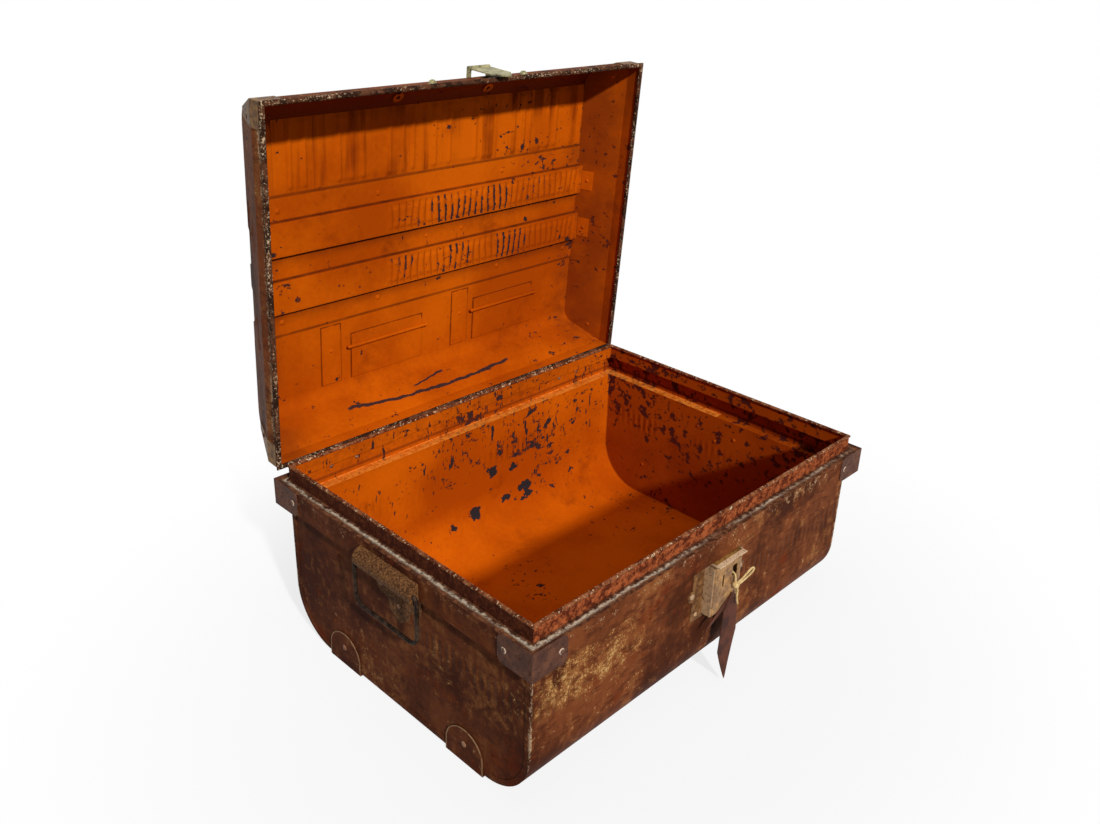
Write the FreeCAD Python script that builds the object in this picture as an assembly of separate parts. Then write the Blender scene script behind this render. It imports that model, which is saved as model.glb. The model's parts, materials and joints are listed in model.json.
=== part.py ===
import FreeCAD, Part
import math
import os
from FreeCAD import Vector

# Sheet-metal trunk with a lift-up domed lid. Millimetres, +Z up, +X to the right, front at -Y.
# The origin is on the ground, under the middle of the body. The lid is modelled shut and then
# turned back about its hinge to the rest pose, wide open.

# ---- body ----
width = 610.0            # across the lip, left to right
depth = 440.0            # across the lip, front to back
rim_height = 250.0       # top of the lip above the ground
sheet = 0.8              # body and lid sheet
foot_height = 4.0        # runners under the bottom
bottom_radius = 71.0     # long lower corners, front and back
lip_height = 22.0        # upright lip above the ledge
band_reach = 13.0        # how far the hollow band stands out
band_height = 32.0
flange_width = 8.0       # wrap turned over the end plates
rim_wire = 3.0           # wire inside the lip's curl, diameter
curl_proud = 1.2         # how far the curl stands out from the lip
wire_fit = 0.05          # wire to curl, radial

# ---- lid, shut ----
lid_reach = 7.0          # lip face to the lid's outer face
lid_lift = 0.3           # rim above the ledge when shut
lid_skirt = 26.0         # upright part of the lid's walls
lid_crown = 88.7         # rim to the top
end_taper = 0.39         # inward lean of the end walls above the skirt
cove_taper = 0.42        # inward lean of the front and back walls
cove_radius = 23.0
lid_wire = 4.6           # wire inside the lid's rim, diameter
groove_inner = 16.5      # two grooves pressed into the top, from the middle line
groove_outer = 60.0
groove_depth = 7.0
groove_slope = 3.0       # run of a groove's side
lap_half = 94.0          # edge of the middle panel, from the middle line
lap_width = 6.0
open_angle = 86.0        # the lid rests this far open

# ---- hinges ----
hinge_in = 90.0          # hinge's middle, in from the lip's end
hinge_width = 60.0
leaf = 1.2
leaf_height = 28.0
knuckle_radius = 3.5
pin_radius = 1.5
pin_fit = 0.05
hinge_out = 2.5          # axis behind the band's face
hinge_up = 7.0           # axis above the ledge
knuckle_gap = 0.3
leaf_drop = 1.0          # knuckle to the top of the base leaf

# ---- runners ----
runner_width = 64.0
runner_sheet = 1.2
runner_gap = 1.0         # runner's edge to where the bottom starts to curve
tongue_height = 48.0
tongue_rivet_z = 27.0
tongue_tip = 2.0         # flat left at the top of the rounded tongue

# ---- corner brackets ----
bracket_sheet = 1.2
bracket_leg = 50.0
bracket_lap = 2.0        # past the band, above and below
bracket_round = 9.0
bracket_rivet = 40.0

# ---- handles ----
handle_y = -2.0
bolster_half = 52.5
bolster_radius = 13.5
bolster_wall = 1.2
bolster_cap = 1.5
bolster_drop = 22.5      # bolster's axis below the ledge
bail_wire = 5.0
bail_fit = 0.05
bail_out = 7.0           # bail axis out from the band's face
bail_half = 57.5
bail_drop = 65.0
bail_corner = 14.0
bail_shoulder = 4.5
plate_sheet = 1.2
plate_half = 42.0
plate_gap = 2.0          # below the band
plate_corner = 3.0
wing_height = 33.0
wing_round = 9.0
wing_dip = 3.0           # the waist starts this far below the wing
lobe_drop = 61.0         # lobe's bottom below the band
lobe_round = 8.0
lobe_reach = 11.0        # lobe's widest point below its rivet
lobe_rivet_drop = 41.0   # rivets below the band
wing_rivet_drop = 26.0
wing_rivet_y = 34.0      # from the handle's middle

# ---- lock ----
lock_x = 12.0
lock_half = 28.0
lock_depth = 15.0
lock_gap = 3.0           # band to the case
lock_height = 76.0
lock_round = 2.5
lock_wall = 1.2
lock_plate_half = 49.0
lock_plate_height = 83.0
lock_plate_corner = 4.0
lock_plate_sheet = 1.0
lock_rivet_x = 10.0      # small rivets, in from the plate's ends
lock_rivet_z = 9.0       # and from its top and bottom
hood_reach = 7.0
hood_sheet = 1.3
hood_shift = 2.0         # the hood stands this far to the left
ear_radius = 8.0
ear_drop = 46.0          # ears below the band
key_x = -9.0             # keyhole, from the lock's middle
key_width = 3.0
key_round = 1.4
key_drop = 25.0          # its top below the band
key_height = 18.0
staple_x = 14.0          # staple hole, from the lock's middle
staple_half = 5.0
staple_round = 3.0
staple_drop = 20.0       # its top below the band
staple_height = 16.0
bolt_length = 34.0
bolt_height = 10.0
bolt_sheet = 4.0
bolt_gap = 0.3

# ---- hasp ----
hasp_x = 30.0
hasp_half = 18.0
hasp_sheet = 1.5
hasp_up = 43.7           # pin above the rim plane
hasp_gap = 0.5           # flap to the band when shut
hasp_pin_radius = 1.5
hasp_barrel = 3.0
hasp_ear = 3.0
tongue_half = 10.0
hasp_tongue_low = -15.0  # tongue's end, from the rim plane
hasp_base_height = 22.0
hasp_base_sheet = 1.2
hasp_shoulder = 3.0      # flap at full width this far below its barrel
hasp_corner = 4.0
hasp_rim_gap = 1.0       # wide part ends this far below the rim plane
hasp_tip_flat = 1.0      # flat at the tongue's round end

# ---- small pieces ----
rivet_radius = 4.0
rivet_height = 1.8
small_rivet = 3.0
stud_radius = 5.5
stud_height = 5.0
stud_x = (-70.0, 84.0)
stud_up = 15.0
washer_radius = 8.0
washer_hole = 3.0
washer_sheet = 1.0
cap_sheet = 1.0
cap_reach = 30.0
cap_low = 8.0
cap_high = 74.0
cap_rivet_in = 24.0      # from the lid's front or back
cap_rivet_up = 48.0      # above the rim
inner_plate_length = 122.0
inner_plate_x = (-81.0, 141.0)
inner_plate_depth = 66.0
inner_plate_gap = 1.4    # to where the cove starts to curve
inner_plate_round = 9.0
inner_plate_sheet = 1.5
rod_wire = 5.0
rod_half = 67.0
rod_in = 17.0            # from the plate's free edge
strap_x = (-175.0, 52.0)
strap_width = 30.0
strap_gap = 4.0          # to the middle panel's edge
strap_sheet = 1.0
tab_width = 30.0
tab_height = 18.0
tab_sheet = 0.8
corner_rivet_in = 83.0   # rivet through each end plate, from the lip's back
corner_rivet_up = 54.0   # above the body's bottom
band_rivet_y = (0.868, 0.209, -0.236)    # heads in the right band, as shares of half the depth
band_rivet_x = (-0.885, 0.934)           # heads in the back band, as shares of half the width
lap_rivet_x = (-0.795, -0.314, 0.397, 0.859)   # lid's lap rivets, as shares of half its width
middle_rivet_x = (-0.048, 0.157)

# ---- twine and tag ----
twine = 2.4
knot_radius = 4.6
hang_gap = 0.3           # knot and tag clear of the lock case
tag_sheet = 2.2
tag_round = 3.0
tag_point = 0.8          # rounding of its pointed end

# ---- worked out ----
ledge_z = rim_height - lip_height
band_z = ledge_z - band_height
half_w = width / 2
half_d = depth / 2
band_x = half_w + band_reach
band_y = half_d + band_reach
lid_z = ledge_z + lid_lift
lid_w = half_w + lid_reach
lid_d = half_d + lid_reach
crown_y = lid_d - cove_taper * (lid_crown - lid_skirt)
cove_turn = math.pi / 2 - math.atan(cove_taper)
arc_y = crown_y - cove_radius * math.tan(cove_turn / 2)
hinge_x = half_w - hinge_in
runner_y = half_d - bottom_radius - runner_width / 2 - runner_gap
bolster_z = ledge_z - bolster_drop
plate_top = band_z - plate_gap
lobe_rivet_z = band_z - lobe_rivet_drop
wing_rivet_z = band_z - wing_rivet_drop
lock_high = band_z - lock_gap
lock_low = lock_high - lock_height
ear_z = band_z - ear_drop
key_high = band_z - key_drop
staple_high = band_z - staple_drop
staple_z = staple_high - staple_height / 2
inner_plate_high = arc_y - inner_plate_gap
inner_plate_low = inner_plate_high - inner_plate_depth
rod_y = inner_plate_low + rod_in
hinge_y = band_y + hinge_out
hinge_z = ledge_z + hinge_up
curl_radius = rim_wire / 2 + wire_fit + sheet
bead_radius = lid_wire / 2 + wire_fit + sheet
reach = 40.0             # spare length of cutting blocks


def block(low, high):
    size = Vector(*high) - Vector(*low)
    return Part.makeBox(size.x, size.y, size.z, Vector(*low))


def bar(start, end, radius):
    run = Vector(*end) - Vector(*start)
    return Part.makeCylinder(radius, run.Length, Vector(*start), run)


def loop_wire(corners, place):
    # corners are (a, b, radius): straight edges joined by tangent arcs
    entries = []
    for i, (a, b, radius) in enumerate(corners):
        here = Vector(a, b, 0)
        following = corners[(i + 1) % len(corners)]
        back = Vector(corners[i - 1][0], corners[i - 1][1], 0) - here
        ahead = Vector(following[0], following[1], 0) - here
        back.normalize()
        ahead.normalize()
        if radius == 0:
            entries.append((here, None, here))
            continue
        half = back.getAngle(ahead) / 2
        middle = back + ahead
        middle.normalize()
        run = radius / math.tan(half)
        top = here + middle * (radius / math.sin(half) - radius)
        entries.append((here + back * run, top, here + ahead * run))
    edges = []
    for i, (start, top, end) in enumerate(entries):
        if top is not None:
            edges.append(Part.Arc(place(start), place(top), place(end)).toShape())
        following = entries[(i + 1) % len(entries)][0]
        if (following - end).Length > 1e-6:
            edges.append(Part.LineSegment(place(end), place(following)).toShape())
    return Part.Wire(edges)


def prism(corners, axis, low, high):
    # a flat outline pushed from low to high along x (outline in y, z), y (x, z) or z (x, y)
    places = {
        "x": lambda p: Vector(low, p.x, p.y),
        "y": lambda p: Vector(p.x, low, p.y),
        "z": lambda p: Vector(p.x, p.y, low),
    }
    pushes = {"x": Vector(1, 0, 0), "y": Vector(0, 1, 0), "z": Vector(0, 0, 1)}
    face = Part.Face(loop_wire(corners, places[axis]))
    return face.extrude(pushes[axis] * (high - low))


def shrink(corners, skin):
    # the same outline, moved inward by skin: mitred corners, arcs keep their centres
    if skin == 0:
        return corners
    count = len(corners)
    area = 0.0
    for i in range(count):
        area += corners[i - 1][0] * corners[i][1] - corners[i][0] * corners[i - 1][1]
    turn = 1.0 if area > 0 else -1.0
    moved = []
    for i, (a, b, radius) in enumerate(corners):
        back = Vector(a - corners[i - 1][0], b - corners[i - 1][1], 0)
        following = corners[(i + 1) % count]
        ahead = Vector(following[0] - a, following[1] - b, 0)
        back.normalize()
        ahead.normalize()
        normal_back = Vector(-back.y, back.x, 0) * turn
        normal_ahead = Vector(-ahead.y, ahead.x, 0) * turn
        middle = normal_back + normal_ahead
        shift = middle * (skin / (1 + normal_back.dot(normal_ahead)))
        outward = back.cross(ahead).z * turn > 0
        change = 0.0 if radius == 0 else (-skin if outward else skin)
        moved.append((a + shift.x, b + shift.y, radius + change))
    return moved


def body_section(skin):
    half = half_d - skin
    low = foot_height + skin
    top = rim_height + skin
    radius = bottom_radius - skin
    return [(-half, top, 0), (-half, low, radius), (half, low, radius), (half, top, 0)]


def lid_section(skin):
    # front-to-back outline of the shut lid; the open side runs on past the rim plane
    low = lid_z - 2 * skin
    bend = lid_z + lid_skirt
    top = lid_z + lid_crown
    slope = groove_slope / 2
    back_half = [
        (lid_d, low, 0),
        (lid_d, bend, 0),
        (crown_y, top, cove_radius),
        (groove_outer + slope, top, 0),
        (groove_outer - slope, top - groove_depth, 0),
        (groove_inner + slope, top - groove_depth, 0),
        (groove_inner - slope, top, 0),
    ]
    front_half = [(-y, z, radius) for y, z, radius in reversed(back_half)]
    return shrink(back_half + front_half, skin)


def lid_ends(skin):
    # left-to-right outline of the shut lid, running on past the top
    low = lid_z - 2 * skin
    bend = lid_z + lid_skirt
    top = lid_z + lid_crown + 2 * reach
    top_x = lid_w - end_taper * (top - bend)
    corners = [(-lid_w, low, 0), (lid_w, low, 0), (lid_w, bend, 0)]
    corners += [(top_x, top, 0), (-top_x, top, 0), (-lid_w, bend, 0)]
    return shrink(corners, skin)


def lid_block(skin):
    along = prism(lid_section(skin), "x", -lid_w - reach, lid_w + reach)
    across = prism(lid_ends(skin), "y", -lid_d - reach, lid_d + reach)
    return along.common(across)


def wedge(side):
    # what lies on one side of the mitre lines through the corners
    x, y, far = half_w, half_d, reach
    shapes = {
        "front": [(-x - far, -y - far), (x + far, -y - far), (x - far, -y + far), (-x + far, -y + far)],
        "left": [(-x - far, -y - far), (-x + far, -y + far), (-x + far, y - far), (-x - far, y + far)],
    }
    shapes["back"] = [(a, -b) for a, b in shapes["front"]]
    shapes["right"] = [(-a, b) for a, b in shapes["left"]]
    return prism([(a, b, 0) for a, b in shapes[side]], "z", -reach, 2 * rim_height)


def ring_bars(x, y, z, radius):
    bars = {}
    ends = {
        "front": ((-x - reach, -y, z), (x + reach, -y, z)),
        "back": ((-x - reach, y, z), (x + reach, y, z)),
        "left": ((-x, -y - reach, z), (-x, y + reach, z)),
        "right": ((x, -y - reach, z), (x, y + reach, z)),
    }
    for side, (start, end) in ends.items():
        bars[side] = bar(start, end, radius).common(wedge(side))
    return bars


def join(shapes):
    return shapes[0].fuse(shapes[1:]).removeSplitter()


def rolled_edge(piece, sides, outer, inner):
    # roll the piece's edge round the ring wire on its own sides
    others = [outer[side] for side in outer if side not in sides]
    own = [outer[side] for side in sides]
    return join([piece.cut(others)] + own).cut(list(inner.values()))


def rivet(centre, normal, radius=rivet_radius, height=rivet_height):
    # domed head with its flat side at centre
    ball = (radius * radius + height * height) / (2 * height)
    out = Vector(*normal)
    out.normalize()
    seat = Vector(*centre)
    dome = Part.makeSphere(ball, seat - out * (ball - height))
    keep = Part.makeCylinder(radius * 2, height * 2, seat, out)
    return dome.common(keep)


def open_lid(shape):
    moved = shape.copy()
    moved.rotate(Vector(0, hinge_y, hinge_z), Vector(1, 0, 0), -open_angle)
    return moved


def mirror_x(shape):
    return shape.mirror(Vector(0, 0, 0), Vector(1, 0, 0))


def save(name, shape):
    shape.exportStep("parts/" + name + ".step")


def group(shapes):
    return Part.makeCompound(shapes)


# ---- body: wrap, end plates and rim wire ----
def make_body():
    far_x = half_w + reach
    outer = prism(body_section(0), "x", -half_w, half_w)
    inner = prism(body_section(sheet), "x", -far_x, far_x)
    band_block = block((-band_x, -band_y, band_z), (band_x, band_y, ledge_z))
    hollow_x = band_x - sheet
    hollow_y = band_y - sheet
    hollow = block((-hollow_x, -hollow_y, band_z + sheet), (hollow_x, hollow_y, ledge_z - sheet))
    core = block((-half_w, -half_d, 0), (half_w, half_d, rim_height))
    band = band_block.cut([hollow, core])
    curl_z = rim_height - curl_radius
    curl_in = curl_radius - curl_proud
    above = block((-far_x, -far_x, curl_z), (far_x, far_x, rim_height + reach))
    rolled = ring_bars(half_w - curl_in, half_d - curl_in, curl_z, curl_radius)
    bored = ring_bars(half_w - curl_in, half_d - curl_in, curl_z, curl_radius - sheet)

    walls = outer.cut([inner, hollow, above])
    parts = [walls, band.common(wedge("front")), band.common(wedge("back"))]
    below = block((-far_x, -far_x, 0), (far_x, far_x, band_z))
    for side in (-1, 1):
        face_x = min(side * half_w, side * (half_w + sheet))
        ring = prism(body_section(0), "x", face_x, face_x + sheet)
        ring = ring.cut(prism(body_section(flange_width), "x", face_x - sheet, face_x + 2 * sheet))
        parts.append(ring.common(below))
    save("body_wrap", rolled_edge(join(parts), ("front", "back"), rolled, bored))

    panel = prism(body_section(sheet), "x", -half_w, -half_w + sheet).cut([hollow, above])
    left = rolled_edge(join([panel, band.common(wedge("left"))]), ("left",), rolled, bored)
    save("left_end_plate", left)
    save("right_end_plate", mirror_x(left))

    wire = ring_bars(half_w - curl_in, half_d - curl_in, curl_z, rim_wire / 2)
    save("base_rim_wire", join(list(wire.values())))


def make_body_rivets():
    inside_x = half_w - sheet
    corner_y = half_d - corner_rivet_in
    corner_z = foot_height + corner_rivet_up
    heads = []
    for side in (-1, 1):
        for y, z in handle_rivet_seats() + [(corner_y, corner_z)]:
            heads.append(rivet((side * inside_x, y, z), (-side, 0, 0), small_rivet))
        heads.append(rivet((side * half_w, corner_y, corner_z), (side, 0, 0), small_rivet))
    band_inside = band_x - sheet
    band_mid = ledge_z - band_height / 4
    for share in band_rivet_y:
        heads.append(rivet((band_inside, share * half_d, band_mid), (-1, 0, 0), small_rivet))
    back_inside = band_y - sheet
    for share in band_rivet_x:
        heads.append(rivet((share * half_w, back_inside, band_mid), (0, -1, 0), small_rivet))
    save("body_rivets", group(heads))


# ---- runners ----
def make_runners():
    end_x = half_w + sheet + runner_sheet
    half = runner_width / 2
    heads = []
    for name, y in (("front_runner", -runner_y), ("back_runner", runner_y)):
        parts = [block((-end_x, y - half, 0), (end_x, y + half, runner_sheet))]
        for edge in (y - half, y + half - runner_sheet):
            parts.append(block((-half_w, edge, 0), (half_w, edge + runner_sheet, foot_height)))
        top = tongue_height
        bend = half - tongue_tip / 2
        shape = [(y - half, 0, 0), (y + half, 0, 0), (y + half, top, bend), (y - half, top, bend)]
        for side in (-1, 1):
            low = min(side * (end_x - runner_sheet), side * end_x)
            parts.append(prism(shape, "x", low, low + runner_sheet))
            heads.append(rivet((side * end_x, y, tongue_rivet_z), (side, 0, 0)))
        save(name, join(parts))
    save("runner_rivets", group(heads))


# ---- corner brackets on the band ----
def make_brackets():
    low = band_z - bracket_lap
    high = ledge_z + bracket_lap
    out_x = band_x + bracket_sheet
    out_y = band_y + bracket_sheet
    end_x = -band_x + bracket_leg
    end_y = -band_y + bracket_leg
    along = [(-out_x, low, 0), (-out_x, high, 0), (end_x, high, bracket_round), (end_x, low, bracket_round)]
    across = [(-out_y, low, 0), (-out_y, high, 0), (end_y, high, bracket_round), (end_y, low, bracket_round)]
    parts = [prism(along, "y", -out_y, -band_y), prism(across, "x", -out_x, -band_x)]
    front_left = join(parts)
    back_left = front_left.mirror(Vector(0, 0, 0), Vector(0, 1, 0))
    save("bracket_front_left", front_left)
    save("bracket_back_left", back_left)
    save("bracket_front_right", mirror_x(front_left))
    save("bracket_back_right", mirror_x(back_left))
    heads = []
    mid = (low + high) / 2
    for sx in (-1, 1):
        for sy in (-1, 1):
            heads.append(rivet((sx * (band_x - bracket_rivet), sy * out_y, mid), (0, sy, 0)))
            heads.append(rivet((sx * out_x, sy * (band_y - bracket_rivet), mid), (sx, 0, 0)))
    save("bracket_rivets", group(heads))


# ---- handles ----
def handle_rivet_seats():
    seats = [(handle_y - wing_rivet_y, wing_rivet_z), (handle_y + wing_rivet_y, wing_rivet_z)]
    return seats + [(handle_y, lobe_rivet_z)]


def make_handles():
    y = handle_y
    wing_z = plate_top - wing_height
    waist = plate_half / 2
    left_half = [
        (-plate_half, plate_top, plate_corner),
        (-plate_half, wing_z, wing_round),
        (-waist, wing_z - wing_dip, wing_round),
        (wing_dip - waist, lobe_rivet_z - lobe_reach, lobe_round),
    ]
    right_half = [(-a, b, radius) for a, b, radius in reversed(left_half)]
    outline = left_half + [(0, plate_top - lobe_drop - wing_dip, wing_round)] + right_half
    shape = [(y + a, b, radius) for a, b, radius in outline]
    plate = prism(shape, "x", -half_w - plate_sheet, -half_w)

    half = bolster_half
    outer = bar((-band_x, y - half, bolster_z), (-band_x, y + half, bolster_z), bolster_radius)
    cap = half - bolster_cap
    hole = bolster_radius - bolster_wall
    inner = bar((-band_x, y - cap, bolster_z), (-band_x, y + cap, bolster_z), hole)
    behind = block((-band_x, y - 2 * half, 0), (0, y + 2 * half, rim_height + reach))
    back = block((-band_x - bolster_wall, y - 2 * half, 0), (0, y + 2 * half, rim_height + reach))
    axis_x = -band_x - bail_out
    bore = bar((axis_x, y - 2 * half, bolster_z), (axis_x, y + 2 * half, bolster_z),
               bail_wire / 2 + bail_fit)
    bolster = outer.cut(behind).cut([inner.cut(back), bore])

    low = bolster_z - bail_drop
    corners = [(y - bail_half, bolster_z, bail_shoulder), (y + bail_half, bolster_z, bail_shoulder)]
    corners += [(y + bail_half, low, bail_corner), (y - bail_half, low, bail_corner)]
    path = loop_wire(corners, lambda p: Vector(axis_x, p.x, p.y))
    start = path.Edges[0].valueAt(path.Edges[0].FirstParameter)
    heading = path.Edges[0].tangentAt(path.Edges[0].FirstParameter)
    ring = Part.Wire([Part.Circle(start, heading, bail_wire / 2).toShape()])
    bail = path.makePipeShell([ring], True, False)

    heads = []
    for seat_y, seat_z in handle_rivet_seats():
        heads.append(rivet((-half_w - plate_sheet, seat_y, seat_z), (-1, 0, 0), small_rivet))
    pieces = {"handle_plate": plate, "bolster": bolster, "bail": bail}
    for name, shape in pieces.items():
        save("left_" + name, shape)
        save("right_" + name, mirror_x(shape))
    save("handle_rivets", group(heads + [mirror_x(head) for head in heads]))


# ---- lock ----
def lock_slot(middle, half, low, high, radius):
    # a rounded slot through the case's front, its middle measured from the lock's
    left = lock_x + middle - half
    right = lock_x + middle + half
    front_y = -half_d - lock_plate_sheet - lock_depth
    corners = [(left, low), (right, low), (right, high), (left, high)]
    outline = [(x, z, radius) for x, z in corners]
    return prism(outline, "y", front_y - reach, front_y + 2 * lock_wall)


def make_lock():
    face_y = -half_d - lock_plate_sheet
    front_y = face_y - lock_depth
    low_x = lock_x - lock_plate_half
    high_x = lock_x + lock_plate_half
    top = band_z - bracket_lap
    low = top - lock_plate_height
    corners = [(low_x, low), (high_x, low), (high_x, top), (low_x, top)]
    plate = prism([(x, z, lock_plate_corner) for x, z in corners], "y", face_y, -half_d)
    ears = []
    heads = []
    for x in (low_x, high_x):
        ears.append(bar((x, face_y, ear_z), (x, -half_d, ear_z), ear_radius))
        heads.append(rivet((x, face_y, ear_z), (0, -1, 0)))
    for x in (low_x + lock_rivet_x, high_x - lock_rivet_x):
        for z in (low + lock_rivet_z, top - lock_rivet_z):
            heads.append(rivet((x, face_y, z), (0, -1, 0), small_rivet))
    save("lock_plate", join([plate] + ears))
    save("lock_rivets", group(heads))

    case = block((lock_x - lock_half, front_y, lock_low), (lock_x + lock_half, face_y, lock_high))
    front_edges = [edge for edge in case.Edges if edge.CenterOfMass.y < front_y + lock_wall / 2]
    case = case.makeFillet(lock_round, front_edges)
    room = block((lock_x - lock_half + lock_wall, front_y + lock_wall, lock_low + lock_wall),
                 (lock_x + lock_half - lock_wall, face_y + reach, lock_high - lock_wall))
    hood_y = front_y - hood_reach
    hood_low = lock_high - hood_sheet
    hood_left = lock_x - lock_half - hood_shift
    hood = block((hood_left, hood_y, hood_low), (hood_left + 2 * lock_half, face_y, lock_high))
    keyhole = lock_slot(key_x, key_width / 2, key_high - key_height, key_high, key_round)
    staple_hole = lock_slot(staple_x, staple_half, staple_high - staple_height, staple_high, staple_round)
    save("lock_case", join([case, hood.cut(case)]).cut([room, keyhole, staple_hole]))

    bolt_x = lock_x + lock_half - lock_wall - bolt_gap
    bolt = block((bolt_x - bolt_length, face_y - bolt_gap - bolt_sheet, staple_z - bolt_height / 2),
                 (bolt_x, face_y - bolt_gap, staple_z + bolt_height / 2))
    save("lock_bolt", bolt)


# ---- hinges ----
def make_hinges():
    third = hinge_width / 3
    base_leaves = []
    lid_leaves = []
    pins = []
    base_heads = []
    lid_heads = []
    skin = lid_block(-leaf).cut(lid_block(0))
    for middle in (-hinge_x, hinge_x):
        left = middle - hinge_width / 2
        right = middle + hinge_width / 2
        spans = [(left, left + third - knuckle_gap), (left + third, right - third)]
        spans += [(right - third + knuckle_gap, right)]
        bore = bar((left - leaf, hinge_y, hinge_z), (right + leaf, hinge_y, hinge_z), pin_radius + pin_fit)

        leaf_top = hinge_z - knuckle_radius - leaf_drop
        parts = [block((left, band_y, leaf_top - leaf_height), (right, band_y + leaf, leaf_top))]
        for low, high in (spans[0], spans[2]):
            parts.append(bar((low, hinge_y, hinge_z), (high, hinge_y, hinge_z), knuckle_radius))
            parts.append(block((low, band_y, leaf_top), (high, band_y + leaf, hinge_z)))
        base_leaves.append(join(parts).cut(bore))

        low, high = spans[1]
        web_top = hinge_z + knuckle_radius
        parts = [bar((low, hinge_y, hinge_z), (high, hinge_y, hinge_z), knuckle_radius)]
        parts.append(block((low, lid_d, web_top - leaf), (high, hinge_y, web_top)))
        keep = block((left, 0, web_top - leaf), (right, hinge_y, web_top + leaf_height))
        parts.append(skin.common(keep))
        lid_leaves.append(join(parts).cut(bore))
        pins.append(bar((left, hinge_y, hinge_z), (right, hinge_y, hinge_z), pin_radius))

        rivet_z = leaf_top - leaf_height / 2
        for x in (middle - third, middle + third):
            base_heads.append(rivet((x, band_y + leaf, rivet_z), (0, 1, 0)))
            base_heads.append(rivet((x, band_y - sheet, rivet_z), (0, -1, 0), small_rivet))
            lid_heads.append(rivet((x, lid_d + leaf, web_top + leaf_height / 4), (0, 1, 0)))
    save("hinge_base_leaves", group(base_leaves))
    save("hinge_pins", group(pins))
    save("hinge_rivets", group(base_heads))
    save("hinge_lid_leaves", open_lid(group(lid_leaves)))
    save("hinge_lid_rivets", open_lid(group(lid_heads)))


# ---- lid shell ----
def make_lid():
    far_x = lid_w + reach
    far_y = lid_d + reach
    bead_z = lid_z + bead_radius
    bead_in = sheet / 2
    rolled = ring_bars(lid_w - bead_in, lid_d - bead_in, bead_z, bead_radius)
    bored = ring_bars(lid_w - bead_in, lid_d - bead_in, bead_z, bead_radius - sheet)
    below = block((-far_x, -far_y, 0), (far_x, far_y, bead_z))

    skins = [prism(lid_section(k * sheet), "x", -far_x, far_x) for k in range(3)]
    ends = [prism(lid_ends(k * sheet), "y", -far_y, far_y) for k in range(2)]
    top = 2 * rim_height
    lap_edge = lap_half - lap_width
    front_room = block((-far_x, -far_y, 0), (far_x, -lap_edge, top))
    back_room = block((-far_x, lap_edge, 0), (far_x, far_y, top))
    middle_room = block((-far_x, -lap_half, 0), (far_x, lap_half, top))
    left_room = block((-far_x, -far_y, 0), (0, far_y, top))

    cove = skins[0].cut([skins[1], below]).common(ends[0])
    front = rolled_edge(cove.common(front_room), ("front",), rolled, bored)
    back = rolled_edge(cove.common(back_room), ("back",), rolled, bored)
    panel = skins[1].cut(skins[2]).common(ends[1]).common(middle_room)
    plate = skins[1].common(ends[0]).cut([ends[1], below]).common(left_room)
    left = rolled_edge(plate, ("left",), rolled, bored)
    save("lid_front_cove", open_lid(front))
    save("lid_back_cove", open_lid(back))
    save("lid_top_panel", open_lid(panel))
    save("lid_left_end", open_lid(left))
    save("lid_right_end", open_lid(mirror_x(left)))
    wire = ring_bars(lid_w - bead_in, lid_d - bead_in, bead_z, lid_wire / 2)
    save("lid_rim_wire", open_lid(join(list(wire.values()))))


def end_face(y, up, inward):
    # a point on the right end wall's outer or inner face, and the face's outward normal
    run = max(0.0, up - lid_skirt)
    lean = math.atan(end_taper) if up > lid_skirt else 0.0
    normal = Vector(math.cos(lean), 0, math.sin(lean))
    point = Vector(lid_w - end_taper * run, y, lid_z + up) - normal * inward
    return point, normal


def make_lid_caps():
    skin = lid_block(-cap_sheet).cut(lid_block(0))
    low = lid_z + cap_low
    high = lid_z + cap_high
    far_x = lid_w + reach
    far_y = lid_d + reach
    corner = block((-far_x, -far_y, low), (-lid_w + cap_reach, -lid_d + cap_reach, high))
    front_left = skin.common(corner)
    hole_y = cap_rivet_in - lid_d
    hole_z = lid_z + cap_rivet_up
    hole = bar((-far_x, hole_y, hole_z), (0, hole_y, hole_z), small_rivet)
    back_left = front_left.mirror(Vector(0, 0, 0), Vector(0, 1, 0))
    save("lid_cap_front_left", open_lid(front_left.cut(hole)))
    save("lid_cap_back_left", open_lid(back_left))
    save("lid_cap_front_right", open_lid(mirror_x(front_left)))
    save("lid_cap_back_right", open_lid(mirror_x(back_left)))


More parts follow.
